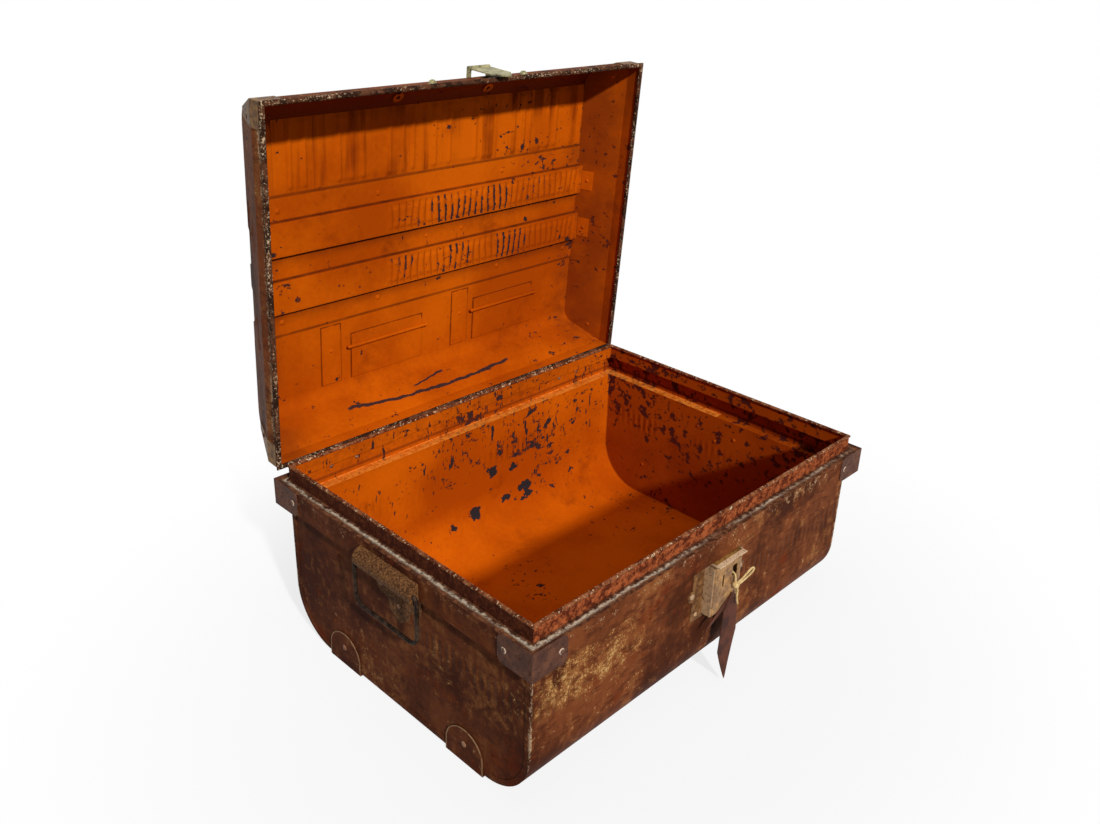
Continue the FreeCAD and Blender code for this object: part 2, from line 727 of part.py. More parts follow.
# ---- what is fastened inside the lid ----
def make_lid_fittings():
    under = lid_z + lid_crown - sheet
    plate_low = under - inner_plate_sheet
    rod_z = plate_low - rod_wire / 2
    names = ("left", "right")
    for name, x in zip(names, inner_plate_x):
        half = inner_plate_length / 2
        free, bend = inner_plate_low, inner_plate_round
        outline = [(x - half, inner_plate_high, 0), (x + half, inner_plate_high, 0)]
        outline += [(x + half, free, bend), (x - half, free, bend)]
        save(name + "_inner_plate", open_lid(prism(outline, "z", plate_low, under)))
        radius = rod_wire / 2
        parts = [bar((x - rod_half, rod_y, rod_z), (x + rod_half, rod_y, rod_z), radius)]
        for end in (x - rod_half, x + rod_half):
            parts.append(Part.makeSphere(radius, Vector(end, rod_y, rod_z)))
            parts.append(bar((end, rod_y, rod_z), (end, rod_y, under), radius))
        save(name + "_rod", open_lid(join(parts)))
    for name, x in zip(names, strap_x):
        half = strap_width / 2
        low = lap_half + strap_gap
        outline = [(x - half, inner_plate_high, 0), (x + half, inner_plate_high, 0)]
        outline += [(x + half, low, half - strap_gap / 2), (x - half, low, half - strap_gap / 2)]
        save(name + "_strap", open_lid(prism(outline, "z", under - strap_sheet, under)))

    tabs = []
    groove_mid = (groove_inner + groove_outer) / 2
    top_up = lid_crown - groove_depth - 2 * sheet
    low_up = top_up - tab_height
    for y in (-groove_mid, groove_mid):
        face_high, normal = end_face(y, top_up - knuckle_gap, sheet)
        face_low, normal = end_face(y, low_up, sheet)
        shape = [(face_low.x, face_low.z, 0), (face_high.x, face_high.z, 0)]
        inner_high = face_high - normal * tab_sheet
        inner_low = face_low - normal * tab_sheet
        shape += [(inner_high.x, inner_high.z, 0), (inner_low.x, inner_low.z, 0)]
        tab = prism(shape, "y", y - tab_width / 2, y + tab_width / 2)
        tabs += [tab, mirror_x(tab)]
    save("groove_tabs", open_lid(group(tabs)))


def make_lid_rivets():
    panel_under = lid_z + lid_crown - 2 * sheet
    cove_under = lid_z + lid_crown - sheet
    lap_rivet_y = (groove_outer + lap_half - lap_width) / 2
    heads = []
    for share in lap_rivet_x:
        for y in (-lap_rivet_y, lap_rivet_y):
            heads.append(rivet((share * lid_w, y, panel_under), (0, 0, -1)))
            heads.append(rivet((share * lid_w, y, panel_under + sheet), (0, 0, 1)))
    for share in middle_rivet_x:
        heads.append(rivet((share * lid_w, 0, panel_under), (0, 0, -1), small_rivet))
        heads.append(rivet((share * lid_w, 0, panel_under + sheet), (0, 0, 1), small_rivet))
    for x in strap_x:
        heads.append(rivet((x, rod_y, cove_under - strap_sheet), (0, 0, -1), small_rivet))
    groove_mid = (groove_inner + groove_outer) / 2
    tab_up = lid_crown - groove_depth - 2 * sheet - tab_height / 2
    cap_y = lid_d - cap_rivet_in
    up = cap_rivet_up
    spots = [(-groove_mid, tab_up, sheet + tab_sheet, -1), (groove_mid, tab_up, sheet + tab_sheet, -1)]
    spots += [(cap_y, up, sheet, -1), (-cap_y, up, sheet, -1), (cap_y, up, -cap_sheet, 1)]
    for y, height, inward, way in spots:
        point, normal = end_face(y, height, inward)
        head = rivet(point, normal * way, small_rivet)
        heads += [head, mirror_x(head)]
    save("lid_rivets", open_lid(group(heads)))


def make_studs():
    studs = []
    washers = []
    arc_z = lid_z + lid_crown - cove_radius
    inner = cove_radius - sheet
    chord = math.sqrt(inner * inner - washer_radius * washer_radius) - washer_sheet
    normal = Vector(0, -math.sin(cove_turn / 2), math.cos(cove_turn / 2))
    for x in stud_x:
        seat = Vector(x, -lid_d, lid_z + stud_up)
        studs.append(rivet(seat, (0, -1, 0), stud_radius, stud_height))
        centre = Vector(x, -arc_y, arc_z) + normal * chord
        ring = Part.makeCylinder(washer_radius, washer_sheet, centre, normal)
        washers.append(ring.cut(Part.makeCylinder(washer_hole, washer_sheet, centre, normal)))
    save("front_studs", open_lid(group(studs)))
    save("front_washers", open_lid(group(washers)))


# ---- hasp on the lid's front ----
def make_hasp():
    pin_y = -band_y - hasp_gap - hasp_sheet / 2
    pin_z = lid_z + hasp_up
    left = hasp_x - hasp_half
    right = hasp_x + hasp_half
    bore = bar((left - reach, pin_y, pin_z), (right + reach, pin_y, pin_z), hasp_pin_radius + pin_fit)

    skin = lid_block(-hasp_base_sheet).cut(lid_block(0))
    low_z = pin_z - hasp_base_height / 2
    keep = block((left, -band_y, low_z), (right, -cove_radius, low_z + hasp_base_height))
    ear_top = pin_z + hasp_barrel
    ear_low = pin_z - hasp_barrel
    wall_y = -lid_d + cove_taper * (hasp_up - lid_skirt) + reach / 4
    side = [(pin_y, ear_top, 0), (wall_y, ear_top, 0), (wall_y, ear_low, 0), (pin_y, ear_low, 0)]
    parts = [skin.common(keep)]
    for low in (left, right - hasp_ear):
        ear = join([prism(side, "x", low, low + hasp_ear),
                    bar((low, pin_y, pin_z), (low + hasp_ear, pin_y, pin_z), hasp_barrel)])
        parts.append(ear.cut(lid_block(0)))
    save("hasp_mount", open_lid(join(parts).cut(bore)))
    save("hasp_pin", open_lid(bar((left, pin_y, pin_z), (right, pin_y, pin_z), hasp_pin_radius)))

    low_x = left + hasp_ear + knuckle_gap
    high_x = right - hasp_ear - knuckle_gap
    rim = lid_z - hasp_rim_gap
    tip = lid_z + hasp_tongue_low
    shoulder = pin_z - hasp_barrel - hasp_shoulder
    tip_round = tongue_half - hasp_tip_flat / 2
    left_half = [
        (low_x, pin_z, 0),
        (left, shoulder, hasp_shoulder),
        (left, rim, hasp_corner),
        (hasp_x - tongue_half, rim, 0),
        (hasp_x - tongue_half, tip, tip_round),
    ]
    outline = left_half + [(2 * hasp_x - x, z, radius) for x, z, radius in reversed(left_half)]
    clear = hasp_barrel + knuckle_gap
    notches = [block((left - reach, pin_y - clear, pin_z - clear), (low_x, pin_y + clear, pin_z + clear)),
               block((high_x, pin_y - clear, pin_z - clear), (right + reach, pin_y + clear, pin_z + clear))]
    plate = prism(outline, "y", pin_y - hasp_sheet / 2, pin_y + hasp_sheet / 2).cut(notches)
    barrel = bar((low_x, pin_y, pin_z), (high_x, pin_y, pin_z), hasp_barrel)
    save("hasp_flap", open_lid(join([plate, barrel]).cut(bore)))


# ---- twine and tag on the lock ----
def hung(points):
    # from the middle of the staple hole on the case's front: (to the right, out, down)
    front_y = -half_d - lock_plate_sheet - lock_depth
    middle = lock_x + staple_x
    return [Vector(middle + across, front_y - out, staple_z - down) for across, out, down in points]


def tube(points, radius):
    # straight runs joined by tangent arcs, as large as the runs allow
    edges = []
    start = points[0]
    for i in range(1, len(points) - 1):
        back = points[i - 1] - points[i]
        ahead = points[i + 1] - points[i]
        reach_in = 0.45 * min(back.Length, ahead.Length)
        back.normalize()
        ahead.normalize()
        half = back.getAngle(ahead) / 2
        bend = reach_in * math.tan(half)
        print("twine arc radius", round(bend, 1))
        middle = back + ahead
        middle.normalize()
        top = points[i] + middle * (bend / math.sin(half) - bend)
        first = points[i] + back * reach_in
        last = points[i] + ahead * reach_in
        edges.append(Part.LineSegment(start, first).toShape())
        edges.append(Part.Arc(first, top, last).toShape())
        start = last
    edges.append(Part.LineSegment(start, points[-1]).toShape())
    path = Part.Wire(edges)
    ring = Part.Wire([Part.Circle(points[0], points[1] - points[0], radius).toShape()])
    solid = path.makePipeShell([ring], True, False)
    print("twine length", round(path.Length, 1), "volume ratio",
          round(solid.Volume / (path.Length * math.pi * radius * radius), 4))
    return solid


def make_twine():
    lump = Part.makeSphere(knot_radius, hung([(-2.0, knot_radius + hang_gap, 19.0)])[0])
    neck = [(-0.5, -6.0, 3.5), (-0.5, -1.5, 4.4), (-0.7, 2.4, 7.0), (-1.0, 2.8, 11.5), (-1.5, 4.4, 16.5)]
    loop = [(1.5, 5.4, 17.5), (11.0, 5.9, 15.0), (21.0, 6.4, 10.0), (29.0, 6.9, 7.0), (33.5, 6.9, 10.5)]
    loop += [(30.0, 6.4, 15.5), (21.0, 5.9, 18.0), (11.0, 5.4, 20.5), (1.5, 4.9, 21.5)]
    tail = [(-0.5, 6.4, 22.0), (1.0, 6.7, 30.0), (0.0, 7.1, 39.0), (2.5, 7.9, 48.0)]
    save("twine_neck", tube(hung(neck), twine / 2).cut(lump))
    save("twine_loop", tube(hung(loop), twine / 2).cut(lump))
    save("twine_tail", tube(hung(tail), twine / 2).cut(lump))
    save("twine_knot", lump)

    corners = [(-18.0, 108.0), (-4.0, 162.0), (12.0, 98.0), (8.0, 40.0), (-4.0, 30.0), (-20.0, 48.0)]
    places = hung([(across, hang_gap, down) for across, down in corners])
    tip = min(places, key=lambda place: place.z)
    outline = [(place.x, place.z, tag_point if place is tip else tag_round) for place in places]
    save("leather_tag", prism(outline, "y", tip.y - tag_sheet, tip.y).cut(lump))


os.makedirs("parts", exist_ok=True)
make_body()
make_body_rivets()
make_runners()
make_brackets()
make_handles()
make_lock()
make_hinges()
make_lid()
make_lid_caps()
make_lid_fittings()
make_lid_rivets()
make_studs()
make_hasp()
make_twine()
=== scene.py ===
import json
import math
import bpy
import numpy as np
from mathutils import Matrix, Vector


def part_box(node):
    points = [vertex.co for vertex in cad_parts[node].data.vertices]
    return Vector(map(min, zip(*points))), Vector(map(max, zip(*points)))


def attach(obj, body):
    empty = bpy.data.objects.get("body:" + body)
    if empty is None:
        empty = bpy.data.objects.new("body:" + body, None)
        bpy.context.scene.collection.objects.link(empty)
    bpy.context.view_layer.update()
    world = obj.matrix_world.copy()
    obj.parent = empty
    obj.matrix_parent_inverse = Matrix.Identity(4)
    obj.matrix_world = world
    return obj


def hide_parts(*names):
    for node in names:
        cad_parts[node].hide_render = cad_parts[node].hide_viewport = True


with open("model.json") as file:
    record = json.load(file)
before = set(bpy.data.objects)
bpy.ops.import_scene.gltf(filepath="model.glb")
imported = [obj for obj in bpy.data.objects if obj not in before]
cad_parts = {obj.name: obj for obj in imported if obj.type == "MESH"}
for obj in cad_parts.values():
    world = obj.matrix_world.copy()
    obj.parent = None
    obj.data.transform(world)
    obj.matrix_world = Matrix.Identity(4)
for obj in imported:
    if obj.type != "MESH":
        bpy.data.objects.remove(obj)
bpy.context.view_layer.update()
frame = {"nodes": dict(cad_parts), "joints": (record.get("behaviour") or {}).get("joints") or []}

scene = bpy.context.scene
nodes = frame["nodes"]
joints = {joint["name"]: joint for joint in frame["joints"]}

# sizes in metres, from the frame
wrapLow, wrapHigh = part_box("body_wrap")
hingeY, hingeZ = joints["lid_hinge"]["pos_m"][1:]
lidTurn = math.radians(joints["lid_hinge"]["range_deg"][1])
sheet = 0.0008

body = {"reach": 0.013, "bandHeight": 0.032, "lip": 0.022, "round": 0.071}
body["halfX"] = wrapHigh.x - body["reach"]
body["halfY"] = wrapHigh.y - body["reach"]
body["floor"] = wrapLow.z
body["top"] = wrapHigh.z
body["ledge"] = body["top"] - body["lip"]
body["bandLow"] = body["ledge"] - body["bandHeight"]

lid = {
    "reach": 0.007, "skirt": 0.026, "crown": 0.0887, "endLean": 0.39, "coveLean": 0.42, "round": 0.023,
    "grooveIn": 0.0165, "grooveOut": 0.060, "grooveDeep": 0.007, "grooveSlope": 0.003, "lap": 0.094,
}
lid["halfX"] = body["halfX"] + lid["reach"]
lid["halfY"] = body["halfY"] + lid["reach"]
lid["rim"] = body["ledge"] + 0.0003
lid["crownY"] = lid["halfY"] - lid["coveLean"] * (lid["crown"] - lid["skirt"])
lid["bend"] = math.pi / 2 - math.atan(lid["coveLean"])
lid["arcY"] = lid["crownY"] - lid["round"] * math.tan(lid["bend"] / 2)
lid["arcUp"] = lid["crown"] - lid["round"]


def opened(points):
    # shut-lid points turned back about the hinge: y' = y cos a + z sin a, z' = z cos a - y sin a
    y = points[..., 1] - hingeY
    z = points[..., 2] - hingeZ
    cosine, sine = math.cos(lidTurn), math.sin(lidTurn)
    turned = [points[..., 0], hingeY + y * cosine + z * sine, hingeZ + z * cosine - y * sine]
    return np.stack(turned, axis=-1)


# shader arithmetic

class Wire:  # a shader socket that takes part in arithmetic
    def __init__(self, tree, socket=None):
        self.tree = tree
        self.socket = socket

    def node(self, kind, settings, sockets, out=0):
        made = self.tree.nodes.new(kind)
        for name, value in settings.items():
            setattr(made, name, value)
        for name, value in sockets.items():
            if isinstance(value, Wire):
                self.tree.links.new(value.socket, made.inputs[name])
            else:
                made.inputs[name].default_value = value
        return Wire(self.tree, made.outputs[out] if len(made.outputs) else None)

    def maths(self, operation, *values):
        return self.node("ShaderNodeMath", {"operation": operation}, dict(enumerate(values)))

    def __add__(self, other):
        return self.maths("ADD", self, other)

    def __radd__(self, other):
        return self.maths("ADD", other, self)

    def __sub__(self, other):
        return self.maths("SUBTRACT", self, other)

    def __rsub__(self, other):
        return self.maths("SUBTRACT", other, self)

    def __mul__(self, other):
        return self.maths("MULTIPLY", self, other)

    def __rmul__(self, other):
        return self.maths("MULTIPLY", other, self)

    def __truediv__(self, other):
        return self.maths("DIVIDE", self, other)

    def __gt__(self, other):
        return self.maths("GREATER_THAN", self, other)

    def __lt__(self, other):
        return self.maths("LESS_THAN", self, other)

    def __abs__(self):
        return self.maths("ABSOLUTE", self)

    def most(self, other):
        return self.maths("MAXIMUM", self, other)

    def least(self, other):
        return self.maths("MINIMUM", self, other)

    def sine(self):
        return self.maths("SINE", self)

    def reachWith(self, other):  # the long side of the triangle with these two sides
        return self.maths("SQRT", self * self + other * other)

    def step(self, low, high):  # rises smoothly from 0 at low to 1 at high
        sockets = {"Value": self, "From Min": low, "From Max": high}
        return self.node("ShaderNodeMapRange", {"interpolation_type": "SMOOTHSTEP"}, sockets)

    def within(self, low, high, soft):  # 1 between low and high
        return self.step(low - soft, low + soft) * (1 - self.step(high - soft, high + soft))

    def mix(self, first, second):  # this factor's mix of two colours
        return self.node("ShaderNodeMix", {"data_type": "RGBA"}, {0: self, 6: first, 7: second}, 2)

    def noise(self, scale, detail=3.0, rough=0.55, stretch=(1, 1, 1), shift=(0, 0, 0)):
        spot = self
        if stretch != (1, 1, 1) or shift != (0, 0, 0):
            spot = self.node("ShaderNodeMapping", {}, {"Vector": self, "Scale": stretch, "Location": shift})
        sockets = {"Vector": spot, "Scale": scale, "Detail": detail, "Roughness": rough}
        return self.node("ShaderNodeTexNoise", {}, sockets)

    def split(self):
        cut = self.node("ShaderNodeSeparateXYZ", {}, {0: self}).socket.node
        return [Wire(self.tree, socket) for socket in cut.outputs]


def shade(red, green, blue):  # a colour picked as 0 to 255 values, made linear
    values = []
    for value in (red / 255, green / 255, blue / 255):
        values.append(((value + 0.055) / 1.055) ** 2.4 if value > 0.04 else value / 12.92)
    return (*values, 1.0)


def startMaterial(name):
    material = bpy.data.materials.new(name)
    material.use_nodes = True
    material.node_tree.nodes.clear()
    return material, Wire(material.node_tree).node("ShaderNodeTexCoord", {}, {}, "Object")


def finishMaterial(place, colour, roughness, height, bump=(0.6, 0.001), metallic=0.0, shine=0.008):
    normal = place.node("ShaderNodeBump", {}, {"Strength": bump[0], "Distance": bump[1], "Height": height})
    sockets = {"Base Color": colour, "Roughness": roughness, "Metallic": metallic, "Normal": normal}
    sockets["Specular IOR Level"] = shine
    surface = place.node("ShaderNodeBsdfPrincipled", {}, sockets)
    place.node("ShaderNodeOutputMaterial", {}, {"Surface": surface})


def shutPlace(place):
    # lid coordinates as if the lid were shut: x, y and the height above its rim
    x, y, z = place.split()
    back = y - hingeY
    up = z - hingeZ
    cosine, sine = math.cos(lidTurn), math.sin(lidTurn)
    return x, back * cosine - up * sine + hingeY, back * sine + up * cosine + (hingeZ - lid["rim"])


# finishes

brown = {
    "deep": shade(66, 32, 18),
    "middle": shade(122, 66, 36),
    "grain": shade(146, 92, 50),
    "ochre": shade(206, 160, 96),
    "rust": shade(112, 44, 22),
    "pale": shade(206, 178, 142),
    "lip": (shade(84, 36, 22), shade(172, 92, 52)),
    # the ledge's third tone is a painted highlight
    "ledge": (shade(64, 36, 26), shade(122, 78, 52), shade(206, 192, 168)),
    # painted shade for the left end and its lip
    "sideShade": shade(62, 32, 24),
    "curl": (shade(84, 38, 22), shade(140, 84, 52)),
    "bead": (shade(46, 28, 20), shade(92, 56, 38)),
    "tongue": shade(170, 140, 104),
}
orange = {
    "bright": shade(204, 92, 5),
    "dull": shade(166, 66, 3),
    # the next tone serves real stains and painted shade in flute valleys
    "stainAndShade": shade(118, 40, 6),
    "maroon": shade(96, 24, 10),
    "chip": shade(44, 36, 38),
    "edge": shade(96, 36, 14),
    # the next tone is a painted highlight
    "wearAndHighlight": shade(240, 142, 52),
    "fold": shade(58, 20, 10),
}


def brownEnamel(place, wearAndHighlight=0.0, gold=0.0):
    # grained brown paint: cloudy ground, combed grain, rust, ochre flecks and pale wear
    cloud = place.noise(7.0, 4.0, 0.6)
    fine = place.noise(85.0, 5.0, 0.65)
    grain = place.noise(24.0, 5.0, 0.65, (1, 1, 0.45))
    speck = place.noise(480.0, 3.0, 0.7)
    patch = place.noise(6.0, 3.0, 0.6, shift=(3.1, 1.7, 0.4))
    colour = (cloud * 0.6 + grain * 0.3 + fine * 0.2).step(0.46, 0.66).mix(brown["deep"], brown["middle"])
    combed = (grain * 0.6 + fine * 0.5 + patch * 0.2 + gold * 0.08).step(0.68, 0.80)
    colour = (combed * 0.7).mix(colour, brown["grain"])
    rust = (place.noise(15.0, 5.0, 0.65, shift=(5, 2, 7)) * 0.8 + fine * 0.3).step(0.60, 0.70)
    colour = (rust * 0.55).mix(colour, brown["rust"])
    flecks = (speck * 0.5 + fine * 0.35 + patch * 0.3 + gold * 0.045).step(0.665, 0.72)
    colour = (flecks * 0.8).mix(colour, brown["ochre"])
    streak = place.noise(120.0, 5.0, 0.75, (0.3, 0.3, 1.3), (2, 2, 5))
    colour = (streak.step(0.53, 0.60) * 0.55).mix(colour, brown["deep"])
    colour = ((streak * 0.7 + patch * 0.3).step(0.33, 0.40) * -0.4 + 0.4).mix(colour, brown["grain"])
    pale = (speck * 0.45 + fine * 0.45 + patch * 0.15 + wearAndHighlight * 0.12).step(0.635, 0.68)
    colour = (pale * 0.75).mix(colour, brown["pale"])
    roughness = 0.5 + rust * 0.25 + flecks * 0.1 - grain * 0.1
    height = fine * 0.5 + speck * 0.2 + streak * 0.3 + cloud * 0.6 - flecks * 0.3
    return colour, roughness, height


def orangeEnamel(place, crowd, scrape=0.0):
    # orange paint flaked off a dark primer: crowd gathers the flakes, scrape draws them out upright
    cloud = place.noise(4.0, 3.0, 0.55)
    fine = place.noise(140.0, 4.0, 0.6)
    colour = (cloud + fine * 0.15).step(0.44, 0.74).mix(orange["bright"], orange["dull"])
    stainAndShade = place.noise(12.0, 5.0, 0.65, shift=(1, 6, 2)).step(0.56, 0.76)
    colour = (stainAndShade * 0.6).mix(colour, orange["stainAndShade"])
    cluster = place.noise(6.0, 2.0, 0.5, shift=(4, 4, 9)) - 0.5
    small = place.noise(110.0, 4.0, 0.6, shift=(7, 3, 1))
    flake = place.noise(58.0, 7.0, 0.64, (0.8, 1.0, 1.2), (2, 9, 4))
    level = flake + cluster * 0.34 + (small - 0.5) * 0.25 + crowd * 0.10
    drawn = place.noise(52.0, 6.0, 0.64, (2.2, 2.2, 0.7), (6, 1, 3)) + cluster * 0.26 + scrape * 0.085
    specks = (small + cluster * 0.3 + crowd * 0.06).step(0.715, 0.73)
    chips = level.step(0.700, 0.708).most(drawn.step(0.702, 0.710)).most(specks)
    edge = level.step(0.675, 0.698).most(drawn.step(0.680, 0.700))
    colour = (edge * 0.6).mix(colour, orange["edge"])
    colour = (chips * 0.96).mix(colour, orange["chip"])
    roughness = 0.45 + chips * 0.2 + stainAndShade * 0.1 + (fine - 0.5) * 0.15
    height = (1 - chips) * 0.7 + fine * 0.12 + cloud * 0.6
    return colour, roughness, height


def twoSided(place, inside, outer, inner):
    # each side is its colour, roughness and height, and inside is 1 on the inner one
    colour = inside.mix(outer[0], inner[0])
    roughness = outer[1] + (inner[1] - outer[1]) * inside
    height = outer[2] + (inner[2] - outer[2]) * inside
    finishMaterial(place, colour, roughness, height)


marks = {  # places on the body's paint, in metres
    "flutePitch": 0.0115, "fluteRow": (0.118, 0.146), "curlHeight": 0.0052,
    "frontGold": ((-0.30, -0.11, 0.03), (0.120, 0.192, 0.012)),  # low, high and softness in x, then in z
    "endGold": ((-0.20, -0.02, 0.04), (0.075, 0.185, 0.02)),  # the same in y, then in z
    "tongueUp": 0.017, "tongueOut": 0.116, "tongueRim": (0.0302, 0.0318, 0.0005),
    "darkLine": (0.006, 0.011, 0.002), "bright": (0.0002, 0.0020, 0.0004),  # above the band's lower bend
    "darkerFrom": 0.185, "patches": (0.020, 0.095, 0.015), "backFrom": 0.15,
    "flakes": ((0.002, 0.052, 0.0085), (0.110, 0.062, 0.0070), (0.069, 0.056, 0.0055),  # x, z, half height
               (-0.046, 0.046, 0.0050), (0.040, 0.109, 0.0070), (0.086, 0.100, 0.0075)),
}


def bodySides(x, y, z):
    # 1 inside the sheet's middle surface: the rounded walls, and the band that stands out round the rim
    farX, farY = abs(x), abs(y)
    half = sheet / 2
    sideY = (farY - (body["halfY"] - body["round"])).most(0.0)
    downZ = ((body["floor"] + body["round"]) - z).most(0.0)
    inWall = (sideY.reachWith(downZ) < body["round"] - half) * (farX < body["halfX"] - half)
    inBand = (z > body["bandLow"] + half) * (z < body["ledge"] - half)
    return inWall.most(inBand * (farX < wrapHigh.x - half) * (farY < wrapHigh.y - half))


def aboveBand(z, reach):  # 1 at these heights over the band's lower bend
    low, high, soft = reach
    return z.within(body["bandLow"] + low, body["bandLow"] + high, soft)


def goldPlaces(x, y, z, bandEdge):
    # ochre flecks gather on the front's left, on the left end and along the band's upper part
    front = (y < -0.2) * x.within(*marks["frontGold"][0]) * z.within(*marks["frontGold"][1])
    end = (x < -0.3) * y.within(*marks["endGold"][0]) * z.within(*marks["endGold"][1])
    return front + end * 0.7 + bandEdge * 0.4


def wallFlutes(place, x, y, z):
    # upright flutes pressed into the walls in one row, in runs: their wave and where the row is
    turns = 2 * math.pi / marks["flutePitch"]
    alongX = (x * turns).sine() * (abs(y) > body["halfY"] - 0.003)
    alongY = (y * turns).sine() * (abs(x) > body["halfX"] - 0.003)
    runs = place.noise(5.0, 2.0, 0.5, shift=(8, 1, 2)).step(0.42, 0.56)
    return alongX + alongY, z.within(*marks["fluteRow"], 0.005) * runs


def ledgeTone(place, x, y, grit, grain):
    # granular brown with a broken painted highlight along its rounded middle, most at the front's left
    across = (abs(x) - body["halfX"]).most(abs(y) - body["halfY"]) / body["reach"]
    sheenSpread = place.noise(7.0, 4.0, 0.7, shift=(4, 4, 1)) + grit * 0.5 - x * 0.30 - y * 0.15
    sheenSpread = sheenSpread.step(0.58, 0.92)
    ridge = across + (place.noise(14.0, 3.0, 0.6, shift=(2, 7, 1)) - 0.5) * 0.5 + (grit - 0.5) * 0.9
    broken = 0.25 + (grain * 0.6 + grit * 0.5).step(0.48, 0.60) * 0.7
    dark, light, pale = brown["ledge"]
    # the pale tone is a painted highlight, broken up by grit
    highlightStrip = ridge.within(0.30, 0.56, 0.14) * sheenSpread * broken
    return highlightStrip.mix(grit.step(0.38, 0.64).mix(dark, light), pale)


def largeFlakes(place, x, y, z):
    # ragged patches low on the back wall, and the flakes placed in marks
    patch = place.noise(19.0, 6.0, 0.6, (0.8, 1, 1), (3, 3, 8))
    patch = patch + (place.noise(4.0, 1.0, 0.5, shift=(1, 8, 3)) - 0.5) * 0.5
    bare = patch.step(0.655, 0.665) * z.within(*marks["patches"]) * (y - marks["backFrom"]).step(0.0, 0.02)
    ragged = (place.noise(75.0, 5.0, 0.65, shift=(6, 6, 2)) - 0.5) * 0.034
    for flakeX, flakeZ, size in marks["flakes"]:
        reach = ((x - flakeX) * 0.75).reachWith(z - flakeZ) + ragged
        bare = bare.most((1 - reach.step(size - 0.0006, size)) * (y > marks["backFrom"]))
    return bare


def bodyInner(place, x, y, z, grit):
    # flakes gather high on the back wall and on the right end, which is darkened with painted shade; the
    # paint is also darker towards the rim and along a line above the band's lower bend
    backWall = (y - (body["halfY"] - 0.05)).step(0.0, 0.045)
    rightEnd = (x - (body["halfX"] - 0.004)).step(0.0, 0.002)
    high = (z - 0.05).step(0.0, 0.10)
    crowd = (backWall * (0.2 + high * 0.45)).most(rightEnd * (0.6 + high * 0.9))
    colour, roughness, height = orangeEnamel(place, crowd, backWall * high)
    # darker towards the rim, and along a line just above the band's lower bend
    darker = (z - marks["darkerFrom"]).step(0.0, 0.02) * (0.10 + grit.step(0.42, 0.62) * 0.25) * (1 - rightEnd)
    darker = darker.most(aboveBand(z, marks["darkLine"]) * (0.4 + grit * 0.5))
    # painted shade: the right end's inner face is darkened towards maroon
    colour = (rightEnd * 0.5).mix(darker.mix(colour, orange["edge"]), orange["maroon"])
    bare = largeFlakes(place, x, y, z)
    return bare.mix(colour, orange["chip"]), roughness, height - bare * 0.6


def bodyPaint():
    # outside brown, inside orange, with a worn lip and curled rim, a painted highlight on the ledge and
    # painted shade on the left end
    material, place = startMaterial("bodyPaint")
    x, y, z = place.split()
    farX, farY = abs(x), abs(y)
    half = sheet / 2
    inside = bodySides(x, y, z)
    outside = 1 - inside
    onCurl = (z - (body["top"] - marks["curlHeight"])).step(0.0, 0.001)
    onLip = (z > body["ledge"] + half) * outside
    onLedge = (z > body["ledge"] - half) * (1 - onLip) * outside
    onBand = (z > body["bandLow"] - half) * (1 - onLip) * (1 - onLedge) * outside
    leftEnd = x < -body["halfX"] + 0.001
    grit = place.noise(130.0, 5.0, 0.75)
    grain = place.noise(420.0, 4.0, 0.75, shift=(1, 2, 6))
    wave, row = wallFlutes(place, x, y, z)
    flute = wave * row

    bandEdge = onBand * z.within(body["ledge"] - 0.014, body["ledge"], 0.006)
    cornerX = (farX - (body["halfX"] - 0.004)).step(0.0, 0.003)
    cornerY = (farY - (body["halfY"] - 0.004)).step(0.0, 0.003)
    wearAndHighlight = (cornerX * cornerY).most(bandEdge * 0.45)
    colour, roughness, height = brownEnamel(place, wearAndHighlight, goldPlaces(x, y, z, bandEdge))
    # painted shade: the left end and its lip are darkened, being the side turned from the light
    colour = (leftEnd * 0.35).mix(colour, brown["sideShade"])
    lipShade = leftEnd * (0.55 + (1 - grain.step(0.5, 0.6)) * 0.35)
    lipTone = lipShade.mix(grit.step(0.40, 0.62).mix(*brown["lip"]), brown["sideShade"])
    colour = onLip.mix(colour, lipTone)
    colour = onLedge.mix(colour, ledgeTone(place, x, y, grit, grain))
    tongue = (z - marks["tongueUp"]).most(0.0).reachWith(farY - marks["tongueOut"])
    tongueEdge = tongue.within(*marks["tongueRim"]) * (farX > body["halfX"] + 0.0012) * grit.step(0.35, 0.5)
    colour = (tongueEdge * 0.7).mix(colour, brown["tongue"])
    # painted shade in the wall flutes' valleys, outside
    colour = ((wave * -1).step(0.1, 0.8) * row * 0.35).mix(colour, brown["deep"])

    inColour, inRough, inHeight = bodyInner(place, x, y, z, grit)
    # painted shade in the wall flutes' valleys, inside
    inColour = (wave.step(0.2, 0.9) * row * 0.45).mix(inColour, orange["stainAndShade"])
    # painted highlight: a bright line along the band's lower bend, on the back half
    bright = aboveBand(z, marks["bright"]) * (grit.step(0.40, 0.55) * 0.6 + 0.2) * (y > 0.0)
    inColour = bright.mix(inColour, orange["wearAndHighlight"])
    curl = place.noise(90.0, 5.0, 0.7).step(0.40, 0.60).mix(*brown["curl"])
    curl = (place.noise(260.0, 4.0, 0.7) > 0.60).mix(curl, brown["pale"])
    gritty = onLip.most(onCurl) * grit * 1.2
    roughness = roughness + onLip * 0.15 - onLedge * 0.12
    outer = (onCurl.mix(colour, curl), roughness, height + flute * 0.8 + gritty)
    twoSided(place, inside, outer, (onCurl.mix(inColour, curl), inRough, inHeight - flute * 0.8))
    return material


